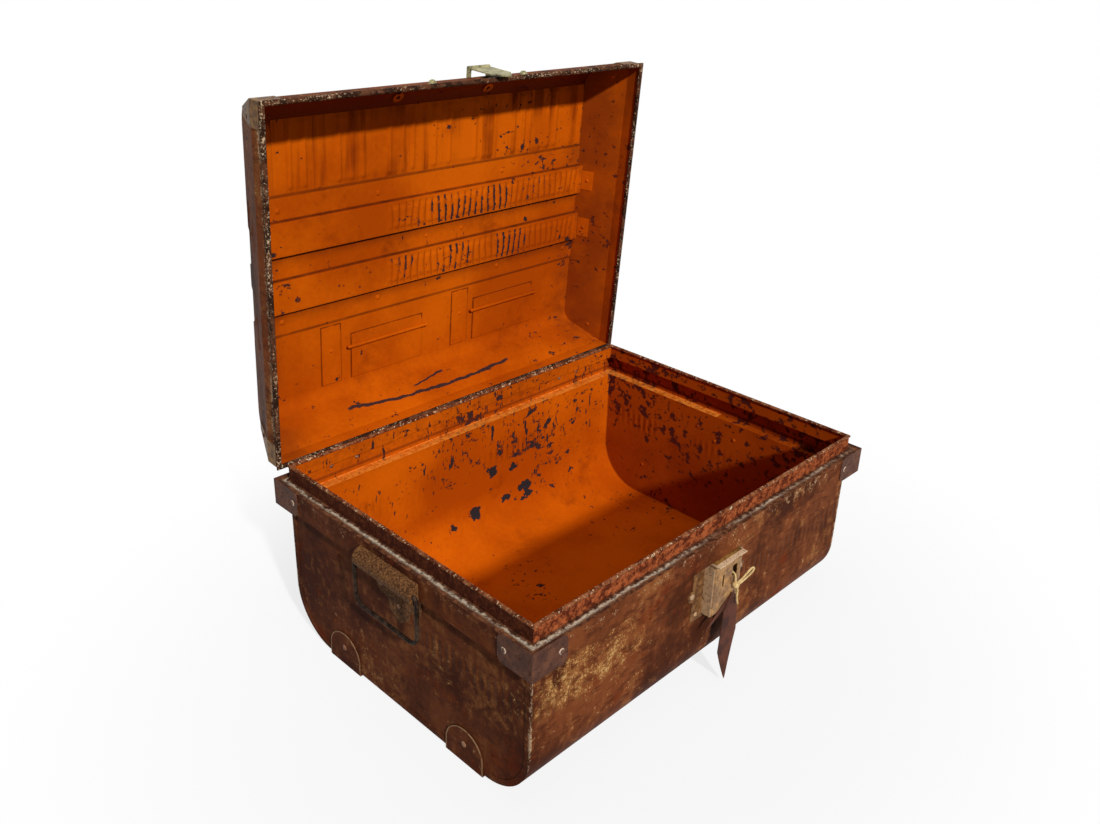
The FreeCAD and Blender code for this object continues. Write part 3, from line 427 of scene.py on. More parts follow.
def shutBox(name):  # a lid piece's reach in x and shut y
    low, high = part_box(name)
    cosine, sine = math.cos(lidTurn), math.sin(lidTurn)
    y = [(at.y - hingeY) * cosine - (at.z - hingeZ) * sine + hingeY for at in (low, high)]
    return low.x, high.x, min(y), max(y)


def aroundFittings(x, y):
    # painted shadow: thin dark outlines just outside the plates and straps, and a soft line under each rod
    lines = []
    for name in ("left_inner_plate", "right_inner_plate", "left_strap", "right_strap"):
        lowX, highX, lowY, highY = shutBox(name)
        outside = (lowX - x).most(x - highX).most((lowY - y).most(y - highY))
        lines.append((1 - outside.step(0.0006, 0.0024)) * (outside > -0.0004))
    for name in ("left_rod", "right_rod"):
        lowX, highX, lowY, highY = shutBox(name)
        lines.append(x.within(lowX, highX, 0.001) * y.within(highY - 0.001, highY + 0.0035, 0.001))
    darkest = lines[0]
    for line in lines[1:]:
        darkest = darkest.most(line)
    return darkest * 0.8


lidMarks = {  # places on the lid's inside, in metres of shut y and height above the rim
    "under": (0.0, 0.004, 0.0015), "fold": (-0.0025, -0.0005, 0.0008), "lapLine": (0.0905, 0.0940, 0.0008),
    "fadeFront": 0.020, "fadeBack": 0.022, "beadTop": 0.0062, "edgeWear": (0.006, 0.014, 0.004),
    "endCrowd": (0.0, 0.12, 0.03), "backCrowd": 0.195, "rightCrowd": (0.04, 0.22),
    "darkerOut": 0.235, "frontDark": 0.17,
    "longScrape": (-0.170, 0.122, 0.003), "longUp": 0.0435,
    "shortScrape": (-0.055, 0.005, 0.003), "shortUp": 0.0625,
}


def lidInside(where, x, y, up):
    # 1 inside the middle of each sheet: leaning ends and coves, rounded crown and grooved panel
    farX, farY = abs(x), abs(y)
    half = sheet / 2
    raised = (up - lid["skirt"]).most(0.0)
    if where == "ends":
        return farX + raised * lid["endLean"] < lid["halfX"] - half
    if where == "rivets":
        inEnds = farX + raised * lid["endLean"] < lid["halfX"] - half
        inCoves = farY + raised * lid["coveLean"] < lid["halfY"] - half
        return inEnds * (up < lid["crown"] - 3 * half) * inCoves
    if where == "coves":
        sideY = (farY - lid["arcY"]).most(0.0)
        sideUp = (up - lid["arcUp"]).most(0.0)
        onRound = (sideUp > sideY * lid["coveLean"]) * (sideY.reachWith(sideUp) > lid["round"] - half)
        return (farY + raised * lid["coveLean"] < lid["halfY"] - half) * (1 - onRound)
    # the panel is the second sheet in, so its groove walls stand outwards of the section's
    slope = lid["grooveSlope"] / 2
    shift = 3 * half * math.tan(math.atan(lid["grooveDeep"] / lid["grooveSlope"]) / 2)
    enter = ((farY - (lid["grooveIn"] - slope - shift)) / (2 * slope)).most(0.0).least(1.0)
    leave = ((farY - (lid["grooveOut"] - slope + shift)) / (2 * slope)).most(0.0).least(1.0)
    return up < (lid["crown"] - 3 * half) - (enter - leave) * lid["grooveDeep"]


def panelShade(place, x, y):
    # painted shade in the folds beside each rib, fading below it away from the lid's front; a dark line
    # along the lap and painted shadow round the fittings
    frontIn, backOut = y + lid["grooveIn"], y - lid["grooveOut"]
    under = frontIn.within(*lidMarks["under"]).most(backOut.within(*lidMarks["under"]))
    fold = (y + lid["grooveOut"]).within(*lidMarks["fold"])
    fold = fold.most((y - lid["grooveIn"]).within(*lidMarks["fold"]))
    fade = (1 - frontIn.step(0.0, lidMarks["fadeFront"])) * (frontIn > 0.0)
    fade = fade.most((1 - backOut.step(0.0, lidMarks["fadeBack"])) * (backOut > 0.0))
    ribShade = (under * 1.1).most(fold * 0.8).most(fade * 0.5).most(abs(y).within(*lidMarks["lapLine"]) * 0.6)
    return (ribShade.most(aroundFittings(x, y)) * (0.45 + place.noise(30.0, 3.0, 0.6))).least(0.9)


def coveScrapes(place, x, up):
    # one long scrape, height = longUp + 0.45 (x - 0.01)^2, and a short one beside it
    ragged = (place.noise(40.0, 5.0, 0.65) - 0.5) * 0.012 + (place.noise(9.0, 2.0, 0.5) - 0.5) * 0.010
    long = abs(up - lidMarks["longUp"] - (x - 0.01) * (x - 0.01) * 0.45 + ragged)
    long = (1 - long.step(0.0018, 0.0028)) * x.within(*lidMarks["longScrape"])
    short = abs(up - lidMarks["shortUp"] - (x + 0.02) * 0.15 + ragged)
    short = (1 - short.step(0.0012, 0.002)) * x.within(*lidMarks["shortScrape"])
    return long.most(short)


def lidPaint(name, where):
    # where is ends, rivets, coves or panel; brown outside, orange inside, and a worn bead round the rim
    material, place = startMaterial(name)
    x, y, up = shutPlace(place)
    farX, farY = abs(x), abs(y)
    inside = lidInside(where, x, y, up)
    outer = brownEnamel(place, up.within(*lidMarks["edgeWear"]), 0.2)
    if where == "ends":
        crowd = farY.within(*lidMarks["endCrowd"]) * 0.4
    else:
        backCrowd = (y - lidMarks["backCrowd"]).step(0.0, 0.02) * 0.35
        crowd = backCrowd.most(x.step(*lidMarks["rightCrowd"]) * 0.45)
    inColour, inRough, inHeight = orangeEnamel(place, crowd)
    # painted shade: the right end's inner face is darkened towards maroon
    if where == "ends":
        inColour = ((x > 0.0) * 0.4).mix(inColour, orange["maroon"])
    # patchy, darker towards the lid's ends
    darker = place.noise(16.0, 4.0, 0.6, shift=(5, 5, 5)).step(0.30, 0.60)
    darker = (farX - lidMarks["darkerOut"]).step(0.0, 0.045) * darker
    inColour = (darker * 0.45).mix(inColour, orange["edge"])
    if where == "panel":
        # painted shade beside the ribs and painted shadow round the fittings
        inColour = panelShade(place, x, y).mix(inColour, orange["fold"])
    if where == "coves":
        onBack = (y > 0.1) * inside
        inColour = (coveScrapes(place, x, up) * onBack * 0.95).mix(inColour, orange["chip"])
        # painted shadow round the plates and straps and under the rods
        outlines = aroundFittings(x, y) * (0.45 + place.noise(30.0, 3.0, 0.6))
        inColour = outlines.least(0.9).mix(inColour, orange["fold"])
        # painted shade with a maroon tint on the front cove, under the lid's front rim
        atFront = (y * -1 - lidMarks["frontDark"]).step(0.0, 0.015)
        inColour = (atFront * 0.8).mix(inColour, orange["maroon"])
    onBead = 1 - up.step(lidMarks["beadTop"], lidMarks["beadTop"] + 0.0006)
    flecks = (place.noise(330.0, 4.0, 0.72) + (place.noise(14.0, 2.0, 0.5) - 0.5) * 0.3).step(0.585, 0.63)
    bead = place.noise(60.0, 4.0, 0.65).step(0.42, 0.6).mix(*brown["bead"])
    bead = (flecks * 0.85).mix(bead, brown["pale"])
    rough = onBead * flecks * 0.6
    outer = (onBead.mix(outer[0], bead), outer[1], outer[2] + rough)
    twoSided(place, inside, outer, (onBead.mix(inColour, bead), inRough, inHeight + rough))
    return material


def innerPaint(name, crowd, streaked=0.0):
    # orange only, for what is fastened inside the lid; streaks run up and down
    material, place = startMaterial(name)
    colour, roughness, height = orangeEnamel(place, crowd)
    if streaked:
        streak = place.noise(55.0, 3.0, 0.6, (1, 0.04, 0.04), (3, 0, 0)).step(0.50, 0.62)
        patch = place.noise(7.0, 3.0, 0.6, shift=(6, 2, 2)).step(0.40, 0.62)
        colour = (streak * patch * streaked).mix(colour, orange["stainAndShade"])
    finishMaterial(place, colour, roughness, height)
    return material


def flutePaint():
    # dark primer shows in the valleys between the flutes, in runs
    material, place = startMaterial("flutePaint")
    x, y = shutPlace(place)[:2]
    colour, roughness, height = orangeEnamel(place, 0.35)
    wander = (x * flutes["waves"][0] + y * flutes["waves"][1]).sine() * flutes["wander"]
    wave = abs(((x + wander) * (math.pi / flutes["pitch"])).sine())
    runs = place.noise(11.0, 3.0, 0.6, shift=(2, 5, 1)) + (place.noise(60.0, 4.0, 0.6) - 0.5) * 0.5
    runs = runs.step(0.53, 0.57) * x.within(*flutes["bare"])
    ragged = (place.noise(170.0, 4.0, 0.65, shift=(9, 1, 4)) - 0.5) * 1.5
    valley = (1 - (wave + ragged).step(0.44, 0.50)) * runs
    fluted = x.within(flutes["from"] + 0.01, flutes["to"], 0.01)
    # painted shade in the flutes' valleys
    colour = ((1 - wave.step(0.0, 0.5)) * fluted * 0.55).mix(colour, orange["stainAndShade"])
    colour = (valley * 0.95).mix(colour, orange["chip"])
    finishMaterial(place, colour, roughness, height)
    return material


metals = {  # dull, bright and pit tones, metallic, roughness, scale and shine
    "bracketPaint": ((shade(72, 42, 31), shade(102, 64, 46), shade(54, 30, 21)), 0.0, 0.5, 60.0, 0.08),
    "rustyHeads": ((shade(110, 62, 40), shade(164, 122, 88), shade(66, 34, 22)), 0.3, 0.5, 120.0, 0.4),
    "bronzedHandle": ((shade(64, 38, 24), shade(138, 96, 58), shade(60, 27, 15)), 0.0, 0.6, 420.0, 0.04),
    "handleWire": ((shade(28, 19, 14), shade(70, 54, 42), shade(20, 13, 10)), 0.0, 0.5, 90.0, 0.04),
    "platePaint": ((shade(84, 52, 30), shade(140, 98, 58), shade(58, 32, 18)), 0.0, 0.5, 90.0, 0.1),
    "haspBrass": ((shade(116, 108, 70), shade(176, 168, 122), shade(70, 60, 34)), 0.3, 0.45, 55.0, 0.4),
    "capBrass": ((shade(92, 62, 36), shade(146, 108, 66), shade(52, 32, 20)), 0.1, 0.5, 90.0, 0.15),
}


def agedMetal(name):
    # cloudy between dull and bright, with fine dark pits
    material, place = startMaterial(name)
    tones, metallic, roughness, scale, shine = metals[name]
    cloud = place.noise(scale, 4.0, 0.6)
    fine = place.noise(scale * 6, 4.0, 0.65)
    colour = (cloud * 0.8 + fine * 0.35).step(0.46, 0.70).mix(tones[0], tones[1])
    pits = (fine * 0.6 + place.noise(scale * 2.2, 5.0, 0.7, shift=(3, 3, 3)) * 0.6).step(0.63, 0.72)
    colour = (pits * 0.8).mix(colour, tones[2])
    height = fine * 0.5 + cloud - pits * 0.6
    rough = roughness + (cloud - 0.5) * 0.3 + pits * 0.2
    finishMaterial(place, colour, rough, height, (0.5, 0.0006), metallic, shine)
    return material


fewTones = {
    "lock": (shade(102, 64, 30), shade(176, 126, 66)),
    "lockPit": shade(92, 54, 28), "lockPale": shade(222, 190, 154),
    "head": (shade(76, 48, 36), shade(104, 68, 50)), "headRing": shade(206, 182, 156),
    "leather": (shade(52, 26, 18), shade(92, 50, 35)), "twine": (shade(178, 140, 84), shade(240, 214, 158)),
}


def lockBrass():
    # worn pale on the hood and along the case's edges, ochre and pitted elsewhere
    material, place = startMaterial("lockBrass")
    x, y, z = place.split()
    low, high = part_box("lock_case")
    cloud = place.noise(70.0, 5.0, 0.65)
    fine = place.noise(420.0, 4.0, 0.65)
    colour = (cloud * 0.7 + fine * 0.4).step(0.44, 0.66).mix(*fewTones["lock"])
    pits = (fine * 0.6 + place.noise(150.0, 5.0, 0.7, shift=(3, 3, 3)) * 0.6).step(0.63, 0.72)
    colour = (pits * 0.6).mix(colour, fewTones["lockPit"])
    hood = 1 - (y - (twine["front"] - 0.0006)).step(0.0, 0.0008)
    rim = (x - (high.x - 0.0035)).most((low.x + 0.0035) - x).most((low.z + 0.0025) - z).step(0.0, 0.0015)
    pale = hood.most(rim * (1 - hood) * 0.6) * (1 - pits) * (0.55 + cloud * 0.7)
    colour = pale.least(1.0).mix(colour, fewTones["lockPale"])
    height = fine * 0.5 + cloud - pits * 0.6
    finishMaterial(place, colour, 0.42 + pits * 0.25, height, (0.5, 0.0006), 0.1, 0.15)
    return material


def ringedHeads():
    # bracket rivets: worn bright round each dome's shoulder
    material, place = startMaterial("ringedHeads")
    x, y = place.split()[:2]
    proud = (abs(y) - (wrapHigh.y + 0.0012)).most(abs(x) - (wrapHigh.x + 0.0012))
    ring = proud.within(0.0002, 0.0010, 0.0002) * place.noise(200.0, 3.0, 0.6).step(0.36, 0.46)
    cloud = place.noise(90.0, 4.0, 0.6)
    colour = cloud.step(0.4, 0.6).mix(*fewTones["head"])
    colour = (ring * 0.85).mix(colour, fewTones["headRing"])
    finishMaterial(place, colour, 0.5, cloud, (0.5, 0.0005), 0.0, 0.2)
    return material


def tagLeather():
    material, place = startMaterial("tagLeather")
    grain = place.node("ShaderNodeTexVoronoi", {}, {"Vector": place, "Scale": 900.0}, "Distance")
    cloud = place.noise(60.0, 4.0, 0.6)
    colour = (cloud + grain * 0.2).step(0.40, 0.75).mix(*fewTones["leather"])
    finishMaterial(place, colour, 0.5 + cloud * 0.2, grain * 0.7 + cloud * 0.6, (0.45, 0.0005), 0.0, 0.1)
    return material


def twineFibre():
    material, place = startMaterial("twineFibre")
    strand = place.noise(900.0, 3.0, 0.6)
    cloud = place.noise(150.0, 3.0, 0.6)
    colour = (strand * 0.7 + cloud * 0.4).step(0.40, 0.72).mix(*fewTones["twine"])
    finishMaterial(place, colour, 0.85, strand, (0.8, 0.0005))
    return material


# meshes

def addPiece(name, points, quads, material):
    mesh = bpy.data.meshes.new(name)
    mesh.from_pydata(points.reshape(-1, 3), [], quads.reshape(-1, 4))
    mesh.polygons.foreach_set("use_smooth", np.ones(len(mesh.polygons), dtype=bool))
    mesh.materials.append(material)
    piece = bpy.data.objects.new(name, mesh)
    scene.collection.objects.link(piece)
    return piece


def gridPiece(name, points, material):
    # points[..., i, j] is row i, column j of a grid; each quad joins four neighbours
    index = np.arange(points[..., 0].size).reshape(points.shape[:-1])
    quads = [index[..., :-1, :-1], index[..., 1:, :-1], index[..., 1:, 1:], index[..., :-1, 1:]]
    return addPiece(name, points, np.stack(quads, axis=-1), material)


def smoothStep(values, low, high):
    part = np.clip((values - low) / (high - low), 0, 1)
    return part * part * (3 - 2 * part)


def between(values, low, high, soft):  # 1 from low + soft to high - soft, 0 outside low and high
    return smoothStep(values, low, low + soft) * (1 - smoothStep(values, high - soft, high))


# camera, floor and light

shot = {
    "width": 1100, "height": 824, "focal": 1014.56, "middleU": 560.3, "middleV": 379.3,
    "place": (-0.8811, -0.7906, 0.8783), "azimuth": 0.8121, "down": 0.4203, "roll": 0.0362,
}


def setCamera():
    level = math.cos(shot["down"])
    azimuth = shot["azimuth"]
    forward = Vector((math.sin(azimuth) * level, math.cos(azimuth) * level, -math.sin(shot["down"])))
    right = forward.cross(Vector((0, 0, 1))).normalized()
    upward = right.cross(forward)
    turn, lift = math.cos(shot["roll"]), math.sin(shot["roll"])
    data = bpy.data.cameras.new("camera")
    data.sensor_fit = "HORIZONTAL"
    data.sensor_width = 36.0
    data.lens = shot["focal"] * data.sensor_width / shot["width"]
    data.shift_x = (shot["width"] / 2 - shot["middleU"]) / shot["width"]
    data.shift_y = (shot["middleV"] - shot["height"] / 2) / shot["width"]
    data.clip_start = 0.01
    camera = bpy.data.objects.new("camera", data)
    scene.collection.objects.link(camera)
    axes = (right * turn + upward * lift, upward * turn - right * lift, -forward)
    camera.matrix_world = Matrix.Translation(shot["place"]) @ Matrix(axes).transposed().to_4x4()
    scene.camera = camera


studio = {
    "world": 0.13, "floor": 0.62, "whiteFrom": 0.35, "whiteTo": 0.85,
    "key": {"from": (-0.27, -0.78, 0.53), "strength": 3.2, "angle": 0.05},
    "top": {"place": (-0.2, -0.2, 3.0), "size": 1.6, "power": 17.0},
}


def seenBackground(place):  # 1 for what the camera sees directly or in metal and glass
    light = place.node("ShaderNodeLightPath", {}, {}, "Is Camera Ray")
    glossy = place.node("ShaderNodeLightPath", {}, {}, "Is Glossy Ray")
    passing = place.node("ShaderNodeLightPath", {}, {}, "Is Transmission Ray")
    return light.most(glossy).most(passing)


def addLamp(name, kind, settings, place):
    data = bpy.data.lights.new(name, kind)
    for setting, value in settings.items():
        setattr(data, setting, value)
    lamp = bpy.data.objects.new(name, data)
    scene.collection.objects.link(lamp)
    lamp.location = place
    return lamp


def setLight():
    world = bpy.data.worlds.new("studio")
    world.use_nodes = True
    world.node_tree.nodes.clear()
    tree = Wire(world.node_tree)
    strength = studio["world"] + seenBackground(tree) * (1 - studio["world"])
    glow = tree.node("ShaderNodeBackground", {}, {"Color": (1, 1, 1, 1), "Strength": strength})
    tree.node("ShaderNodeOutputWorld", {}, {"Surface": glow})
    scene.world = world
    key = studio["key"]
    sun = addLamp("key", "SUN", {"energy": key["strength"], "angle": key["angle"]}, Vector(key["from"]) * 4)
    sun.rotation_euler = (-Vector(key["from"])).to_track_quat("-Z", "Y").to_euler()
    top = studio["top"]
    addLamp("top", "AREA", {"shape": "DISK", "size": top["size"], "energy": top["power"]}, top["place"])


def setFloor():
    # pale floor that turns to plain white away from the trunk
    material, place = startMaterial("paleFloor")
    x, y = place.split()[:2]
    tone = studio["floor"]
    cloud = place.noise(3.0, 2.0, 0.5)
    colour = cloud.mix((tone, tone, tone, 1), (tone + 0.02, tone + 0.02, tone + 0.02, 1))
    plain = place.node("ShaderNodeBsdfDiffuse", {}, {"Color": colour, "Roughness": 0.9})
    white = place.node("ShaderNodeEmission", {}, {"Color": (1, 1, 1, 1), "Strength": 1.0})
    far = x.reachWith(y * 1.15).step(studio["whiteFrom"], studio["whiteTo"])
    factor = seenBackground(place) * (0.80 + far * 0.20)
    surface = place.node("ShaderNodeMixShader", {}, {0: factor, 1: plain, 2: white})
    place.node("ShaderNodeOutputMaterial", {}, {"Surface": surface})
    side = np.linspace(-6.0, 6.0, 13)
    x, y = np.meshgrid(side, side, indexing="ij")
    gridPiece("floor", np.stack([x, y, x * 0.0], axis=-1), material)


# the trunk's own nodes

def paintNodes(material, *names):
    for name in names:
        for slot in nodes[name].material_slots:
            slot.material = material


def finishNodes():
    paintNodes(bodyPaint(), "body_wrap", "left_end_plate", "right_end_plate", "front_runner", "back_runner",
               "body_rivets")
    paintNodes(lidPaint("lidEndPaint", "ends"), "lid_left_end", "lid_right_end")
    paintNodes(lidPaint("lidCovePaint", "coves"), "lid_front_cove", "lid_back_cove")
    paintNodes(lidPaint("lidPanelPaint", "panel"), "lid_top_panel")
    paintNodes(innerPaint("fittingPaint", 0.2), "left_inner_plate", "right_inner_plate", "left_rod",
               "right_rod", "left_strap", "right_strap", "groove_tabs")
    paintNodes(innerPaint("washerPaint", 0.6), "front_washers")
    paintNodes(lidPaint("lidRivetPaint", "rivets"), "lid_rivets")
    paintNodes(agedMetal("bracketPaint"), "bracket_front_left", "bracket_front_right", "bracket_back_left",
               "bracket_back_right", "hinge_base_leaves", "hinge_lid_leaves", "hinge_pins")
    paintNodes(ringedHeads(), "bracket_rivets")
    paintNodes(agedMetal("rustyHeads"), "runner_rivets", "handle_rivets", "hinge_rivets",
               "hinge_lid_rivets", "base_rim_wire", "lid_rim_wire")
    paintNodes(agedMetal("bronzedHandle"), "left_handle_plate", "right_handle_plate", "left_bolster",
               "right_bolster")
    paintNodes(agedMetal("handleWire"), "left_bail", "right_bail", "lock_bolt")
    paintNodes(lockBrass(), "lock_case", "lock_rivets")
    paintNodes(agedMetal("platePaint"), "lock_plate")
    paintNodes(agedMetal("haspBrass"), "hasp_mount", "hasp_pin", "hasp_flap", "front_studs")
    paintNodes(agedMetal("capBrass"), "lid_cap_front_left", "lid_cap_front_right", "lid_cap_back_left",
               "lid_cap_back_right")


# pressed reliefs inside the lid

flutes = {
    "pitch": 0.0115, "from": -0.092, "to": 0.279, "half": 0.283, "deep": 0.0022, "gap": 0.0003,
    "wander": 0.0012, "waves": (61, 90), "bare": (-0.085, 0.20, 0.02), "rows": 28, "columns": 700,
}


def makeFlutes(material):
    # height = gap + deep fade(x) fade(y) |sin(pi x' / pitch)| under each groove's floor,
    # where x' = x + wander sin(61 x + 90 y)
    floorUp = lid["crown"] - 2 * sheet - lid["grooveDeep"]
    inner = lid["grooveIn"] + lid["grooveSlope"] / 2 + sheet
    outer = lid["grooveOut"] - lid["grooveSlope"] / 2 - sheet
    for name, side in (("flutedStripFront", -1), ("flutedStripBack", 1)):
        across = side * np.linspace(inner, outer, flutes["rows"])
        along = np.linspace(-flutes["half"], flutes["half"], flutes["columns"])
        x, y = np.meshgrid(along, across, indexing="ij")
        fade = between(x, flutes["from"], flutes["to"], 0.015)
        fade = fade * between(np.abs(y), inner + 0.002, outer - 0.002, 0.007)
        wander = flutes["wander"] * np.sin(x * flutes["waves"][0] + y * flutes["waves"][1])
        wave = np.abs(np.sin(np.pi * (x + wander) / flutes["pitch"]))
        up = floorUp - flutes["gap"] - flutes["deep"] * fade * wave
        points = opened(np.stack([x, y, up + lid["rim"]], axis=-1))
        piece = gridPiece(name, points if side < 0 else points[:, ::-1], material)
        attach(piece, "lid")


reeds = {
    "at": (-0.229, -0.208, -0.158, -0.139, -0.122, -0.080, -0.058, -0.041, -0.005, 0.021, 0.067,
           0.085, 0.092, 0.099, 0.141, 0.155, 0.161, 0.173, 0.211, 0.227),
    "wide": 0.0032, "deep": 0.0022, "swell": 0.0004, "gap": 0.0003,
    "left": -0.252, "right": 0.284, "rows": 40, "columns": 620,
}


def makeReeds(material):
    # height = gap + fade(y) (deep sum exp(-((x - reed) / wide)^2) + swell (sin 38x + sin(91x + 2) + 2))
    coveUp = lid["crown"] - sheet
    front, back = 0.0005 - lid["arcY"], -lid["lap"] - 0.0006
    along = np.linspace(reeds["left"], reeds["right"], reeds["columns"])
    across = np.linspace(front, back, reeds["rows"])
    x, y = np.meshgrid(along, across, indexing="ij")
    ridge = sum(np.exp(-((x - place) / reeds["wide"]) ** 2) for place in reeds["at"])
    broad = reeds["swell"] * (np.sin(x * 38) + np.sin(x * 91 + 2)) + 2 * reeds["swell"]
    up = coveUp - reeds["gap"] - between(y, front, back - 0.001, 0.007) * (reeds["deep"] * ridge + broad)
    piece = gridPiece("reededCove", opened(np.stack([x, y, up + lid["rim"]], axis=-1)), material)
    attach(piece, "lid")


# twine and tag on the lock

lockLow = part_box("lock_case")[0]
twine = {
    "radius": 0.0012, "knot": 0.0046, "hood": 0.007, "stapleX": 0.026, "stapleZ": 0.168,
    "windLength": 0.0042, "plyOut": 0.66, "plyThick": 0.6,  # both ply values are shares of the radius
}
twine["front"] = lockLow.y + twine["hood"]


def hung(across, out, down):  # from the staple's slot in the front of the case
    return np.stack([twine["stapleX"] + across, twine["front"] - out, twine["stapleZ"] - down], axis=-1)


def makeTwine(material):
    # places are across, out and down in millimetres, from the slot to the hanging end
    neck = [(-0.5, -6.0, 3.5), (-0.5, -1.5, 4.4), (-0.7, 2.4, 7.0), (-1.0, 2.8, 11.5), (-1.5, 4.4, 16.5)]
    loop = [(1.5, 5.4, 17.5), (11.0, 5.9, 15.0), (21.0, 6.4, 10.0), (29.0, 6.9, 7.0), (33.5, 6.9, 10.5)]
    loop += [(30.0, 6.4, 15.5), (21.0, 5.9, 18.0), (11.0, 5.4, 20.5), (1.5, 4.9, 21.5)]
    tail = [(-0.5, 6.4, 22.0), (1.0, 6.7, 30.0), (0.0, 7.1, 39.0), (2.5, 7.9, 48.0)]
    route = hung(*(np.array(neck + loop + tail).T / 1000)).tolist()
    data = bpy.data.curves.new("twineBow", "CURVE")
    data.dimensions = "3D"
    spline = data.splines.new("NURBS")
    spline.points.add(len(route) - 1)
    for point, place in zip(spline.points, route):
        point.co = (*place, 1)
    spline.use_endpoint_u = True
    spline.order_u = 3
    spline.resolution_u = 12
    bow = bpy.data.objects.new("twineBow", data)
    scene.collection.objects.link(bow)
    line = bpy.data.meshes.new_from_object(bow.evaluated_get(bpy.context.evaluated_depsgraph_get()))
    path = np.empty(len(line.vertices) * 3)
    line.vertices.foreach_get("co", path)
    data.bevel_depth = twine["radius"]
    data.bevel_resolution = 4
    data.use_fill_caps = True
    data.materials.append(material)
    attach(bow, "chest")
    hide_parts("twine_neck", "twine_loop", "twine_tail")
    return bow, path.reshape(-1, 3), route[0]


def makeStrands(path, material):
    # two plies wound round the twine's line: centre + ply * (n cos a + b sin a), a grows with length
    length = np.concatenate([[0], np.cumsum(np.linalg.norm(np.diff(path, axis=0), axis=1))])
    fine = np.linspace(0, length[-1], 520)
    line = np.stack([np.interp(fine, length, path[:, i]) for i in range(3)], axis=-1)
    ahead = np.gradient(line, axis=0)
    ahead /= np.linalg.norm(ahead, axis=1, keepdims=True)
    side = np.cross(ahead, (0, 1, 0.2))
    side /= np.linalg.norm(side, axis=1, keepdims=True)
    top = np.cross(ahead, side)
    ring = np.linspace(0, 2 * np.pi, 9)
    circle = side[:, None] * np.cos(ring)[:, None] + top[:, None] * np.sin(ring)[:, None]
    pieces = []
    for ply in (0, 1):
        turn = (fine / twine["windLength"] + ply / 2) * 2 * np.pi
        offset = side * np.cos(turn)[:, None] + top * np.sin(turn)[:, None]
        centre = line + offset * twine["radius"] * twine["plyOut"]
        points = centre[:, None] + circle * twine["radius"] * twine["plyThick"]
        pieces.append(gridPiece("twinePly%d" % (ply + 1), points, material))
    return pieces, line


hairs = {
    "allAlong": 90, "nearEnd": 60,  # how many spring from the whole line, and from its hanging end
    "first": 90, "endFirst": 430, "last": 519,  # rows of the line between which they spring
    "reach": (0.0015, 0.0048), "sag": 0.35, "thick": 0.00012,
}


def makeHairs(line, material):
    # frayed hairs: root + (away t + sag t^2) reach, each a thin tube that narrows to a tenth
    random = np.random.default_rng(7)
    count = hairs["allAlong"] + hairs["nearEnd"]
    allAlong = random.integers(hairs["first"], hairs["last"], hairs["allAlong"])
    nearEnd = random.integers(hairs["endFirst"], hairs["last"], hairs["nearEnd"])
    root = line[np.concatenate([allAlong, nearEnd])]
    away = random.normal(size=(count, 3)) * (1, 0.6, 1)
    away /= np.linalg.norm(away, axis=1, keepdims=True)
    reach = random.uniform(*hairs["reach"], (count, 1, 1))
    t = np.linspace(0, 1, 5)[:, None]
    sag = random.normal(size=(count, 1, 3)) * hairs["sag"]
    spine = root[:, None] + (away[:, None] * t + sag * t * t) * reach
    across = np.cross(away, (0.3, 0.9, 0.2))
    across /= np.linalg.norm(across, axis=1, keepdims=True)
    angle = np.linspace(0, 2 * np.pi, 4)[:, None]
    circle = across[:, None] * np.cos(angle) + np.cross(away, across)[:, None] * np.sin(angle)
    thick = hairs["thick"] * (1 - 0.9 * t)[:, None]
    return gridPiece("twineHairs", spine[:, :, None] + circle[:, None] * thick, material)


def makeKnot(material):
    # r(u, v) = R (0.93 + 0.13 |sin(2v + u)| sin v): wound turns round a ball
    u, v = np.meshgrid(np.linspace(0, 2 * np.pi, 49), np.linspace(0, np.pi, 25), indexing="ij")
    radius = twine["knot"] * (0.93 + 0.13 * np.abs(np.sin(2 * v + u)) * np.sin(v))
    centre = hung(-0.002, twine["knot"] + 0.0003, 0.019)
    way = np.stack([np.sin(v) * np.cos(u), np.sin(v) * np.sin(u), np.cos(v)], axis=-1)
    knot = gridPiece("twineKnot", (centre + way * radius[..., None])[::-1], material)
    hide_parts("twine_knot")
    return knot


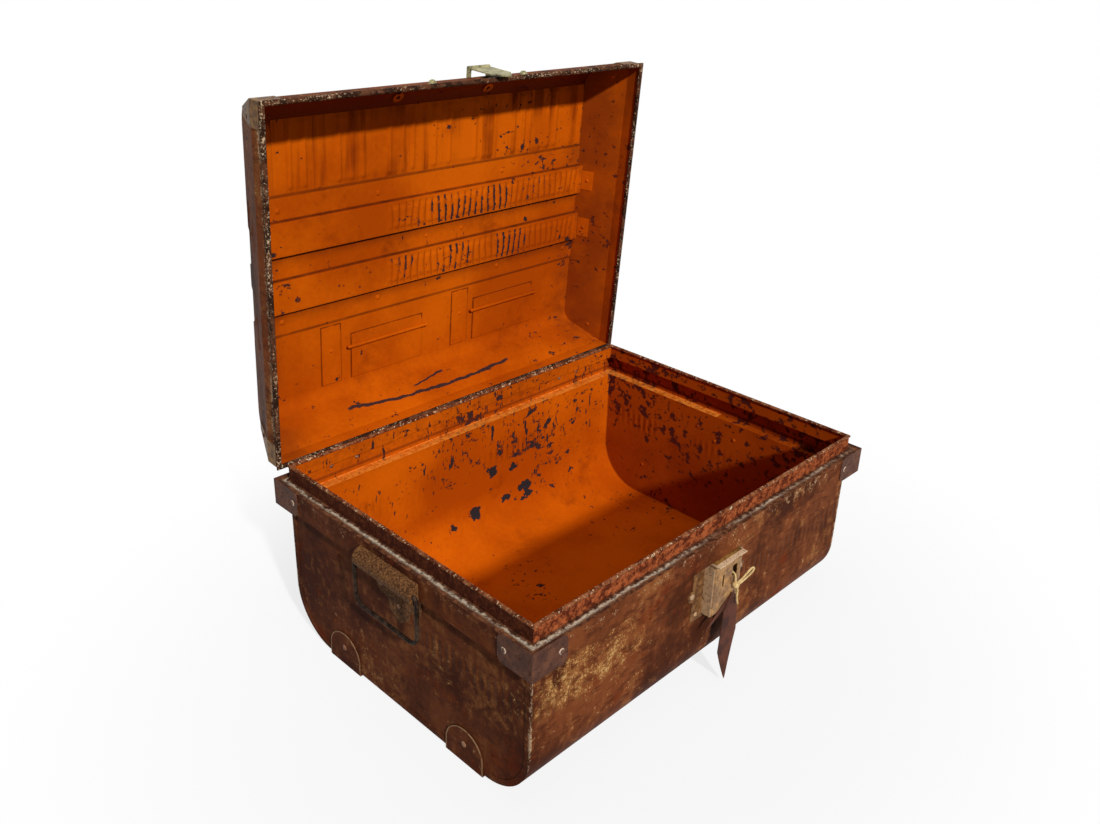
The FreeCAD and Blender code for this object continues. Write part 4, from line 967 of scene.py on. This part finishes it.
# each edge is a row of (down, across) places
tag = {
    "front": {"left": ((0.030, -0.004), (0.052, -0.018), (0.112, -0.023), (0.162, -0.0045)),
              "right": ((0.030, -0.004), (0.042, 0.010), (0.094, 0.014), (0.162, -0.0035)),
              "out": 0.0021, "thick": 0.0014, "lift": 0.003},
    "back": {"left": ((0.034, -0.006), (0.057, -0.043), (0.067, -0.051)),
             "right": ((0.034, 0.004), (0.044, -0.004), (0.057, -0.030), (0.067, -0.0505)),
             "out": 0.0008, "thick": 0.0011, "lift": 0.0},
    "square": 0.45,  # lower makes the leaves' edges squarer
}


def makeTag(name, leaf, material):
    # across = left + (right - left)(1 + sin a) / 2, with sin a and cos a squared off
    # outwards = out + lift run^2 + 0.0006 run sin(7 run + 60 across) + thick cos a / 2, thin at both ends
    top, end = leaf["left"][0][0], leaf["left"][-1][0]
    down, angle = np.meshgrid(np.linspace(top, end, 90), np.linspace(0, 2 * np.pi, 49), indexing="ij")
    left = np.interp(down, *zip(*leaf["left"]))
    right = np.interp(down, *zip(*leaf["right"]))
    sine, cosine = np.sin(angle), np.cos(angle)
    across = left + (right - left) * (1 + np.sign(sine) * np.abs(sine) ** tag["square"]) / 2
    run = (down - top) / (end - top)
    close = np.minimum(1, 14 * np.minimum(run, 1 - run) + 0.05) ** 0.5
    out = leaf["out"] + leaf["lift"] * run ** 2 + 0.0006 * np.sin(run * 7 + across * 60) * run
    out = out + leaf["thick"] / 2 * np.sign(cosine) * np.abs(cosine) ** tag["square"] * close
    piece = gridPiece(name, hung(across, out, down), material)
    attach(piece, "chest")
    return piece


def hangTwine():
    fibre, leather = twineFibre(), tagLeather()
    bow, path, start = makeTwine(fibre)
    strands, line = makeStrands(path, fibre)
    strands += [makeHairs(line, fibre), makeKnot(fibre)]
    for piece in strands:
        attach(piece, "chest")
    leaf = makeTag("tagFrontLeaf", tag["front"], leather)
    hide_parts("leather_tag")
    makeTag("tagBackLeaf", tag["back"], leather)


setCamera()
hangTwine()
print("camera and twine set")
setLight()
setFloor()
print("studio set")
finishNodes()
print("nodes painted")
makeFlutes(flutePaint())
makeReeds(innerPaint("reedPaint", 0.15, 0.8))
print("reliefs made")

scene.view_settings.view_transform = "Standard"
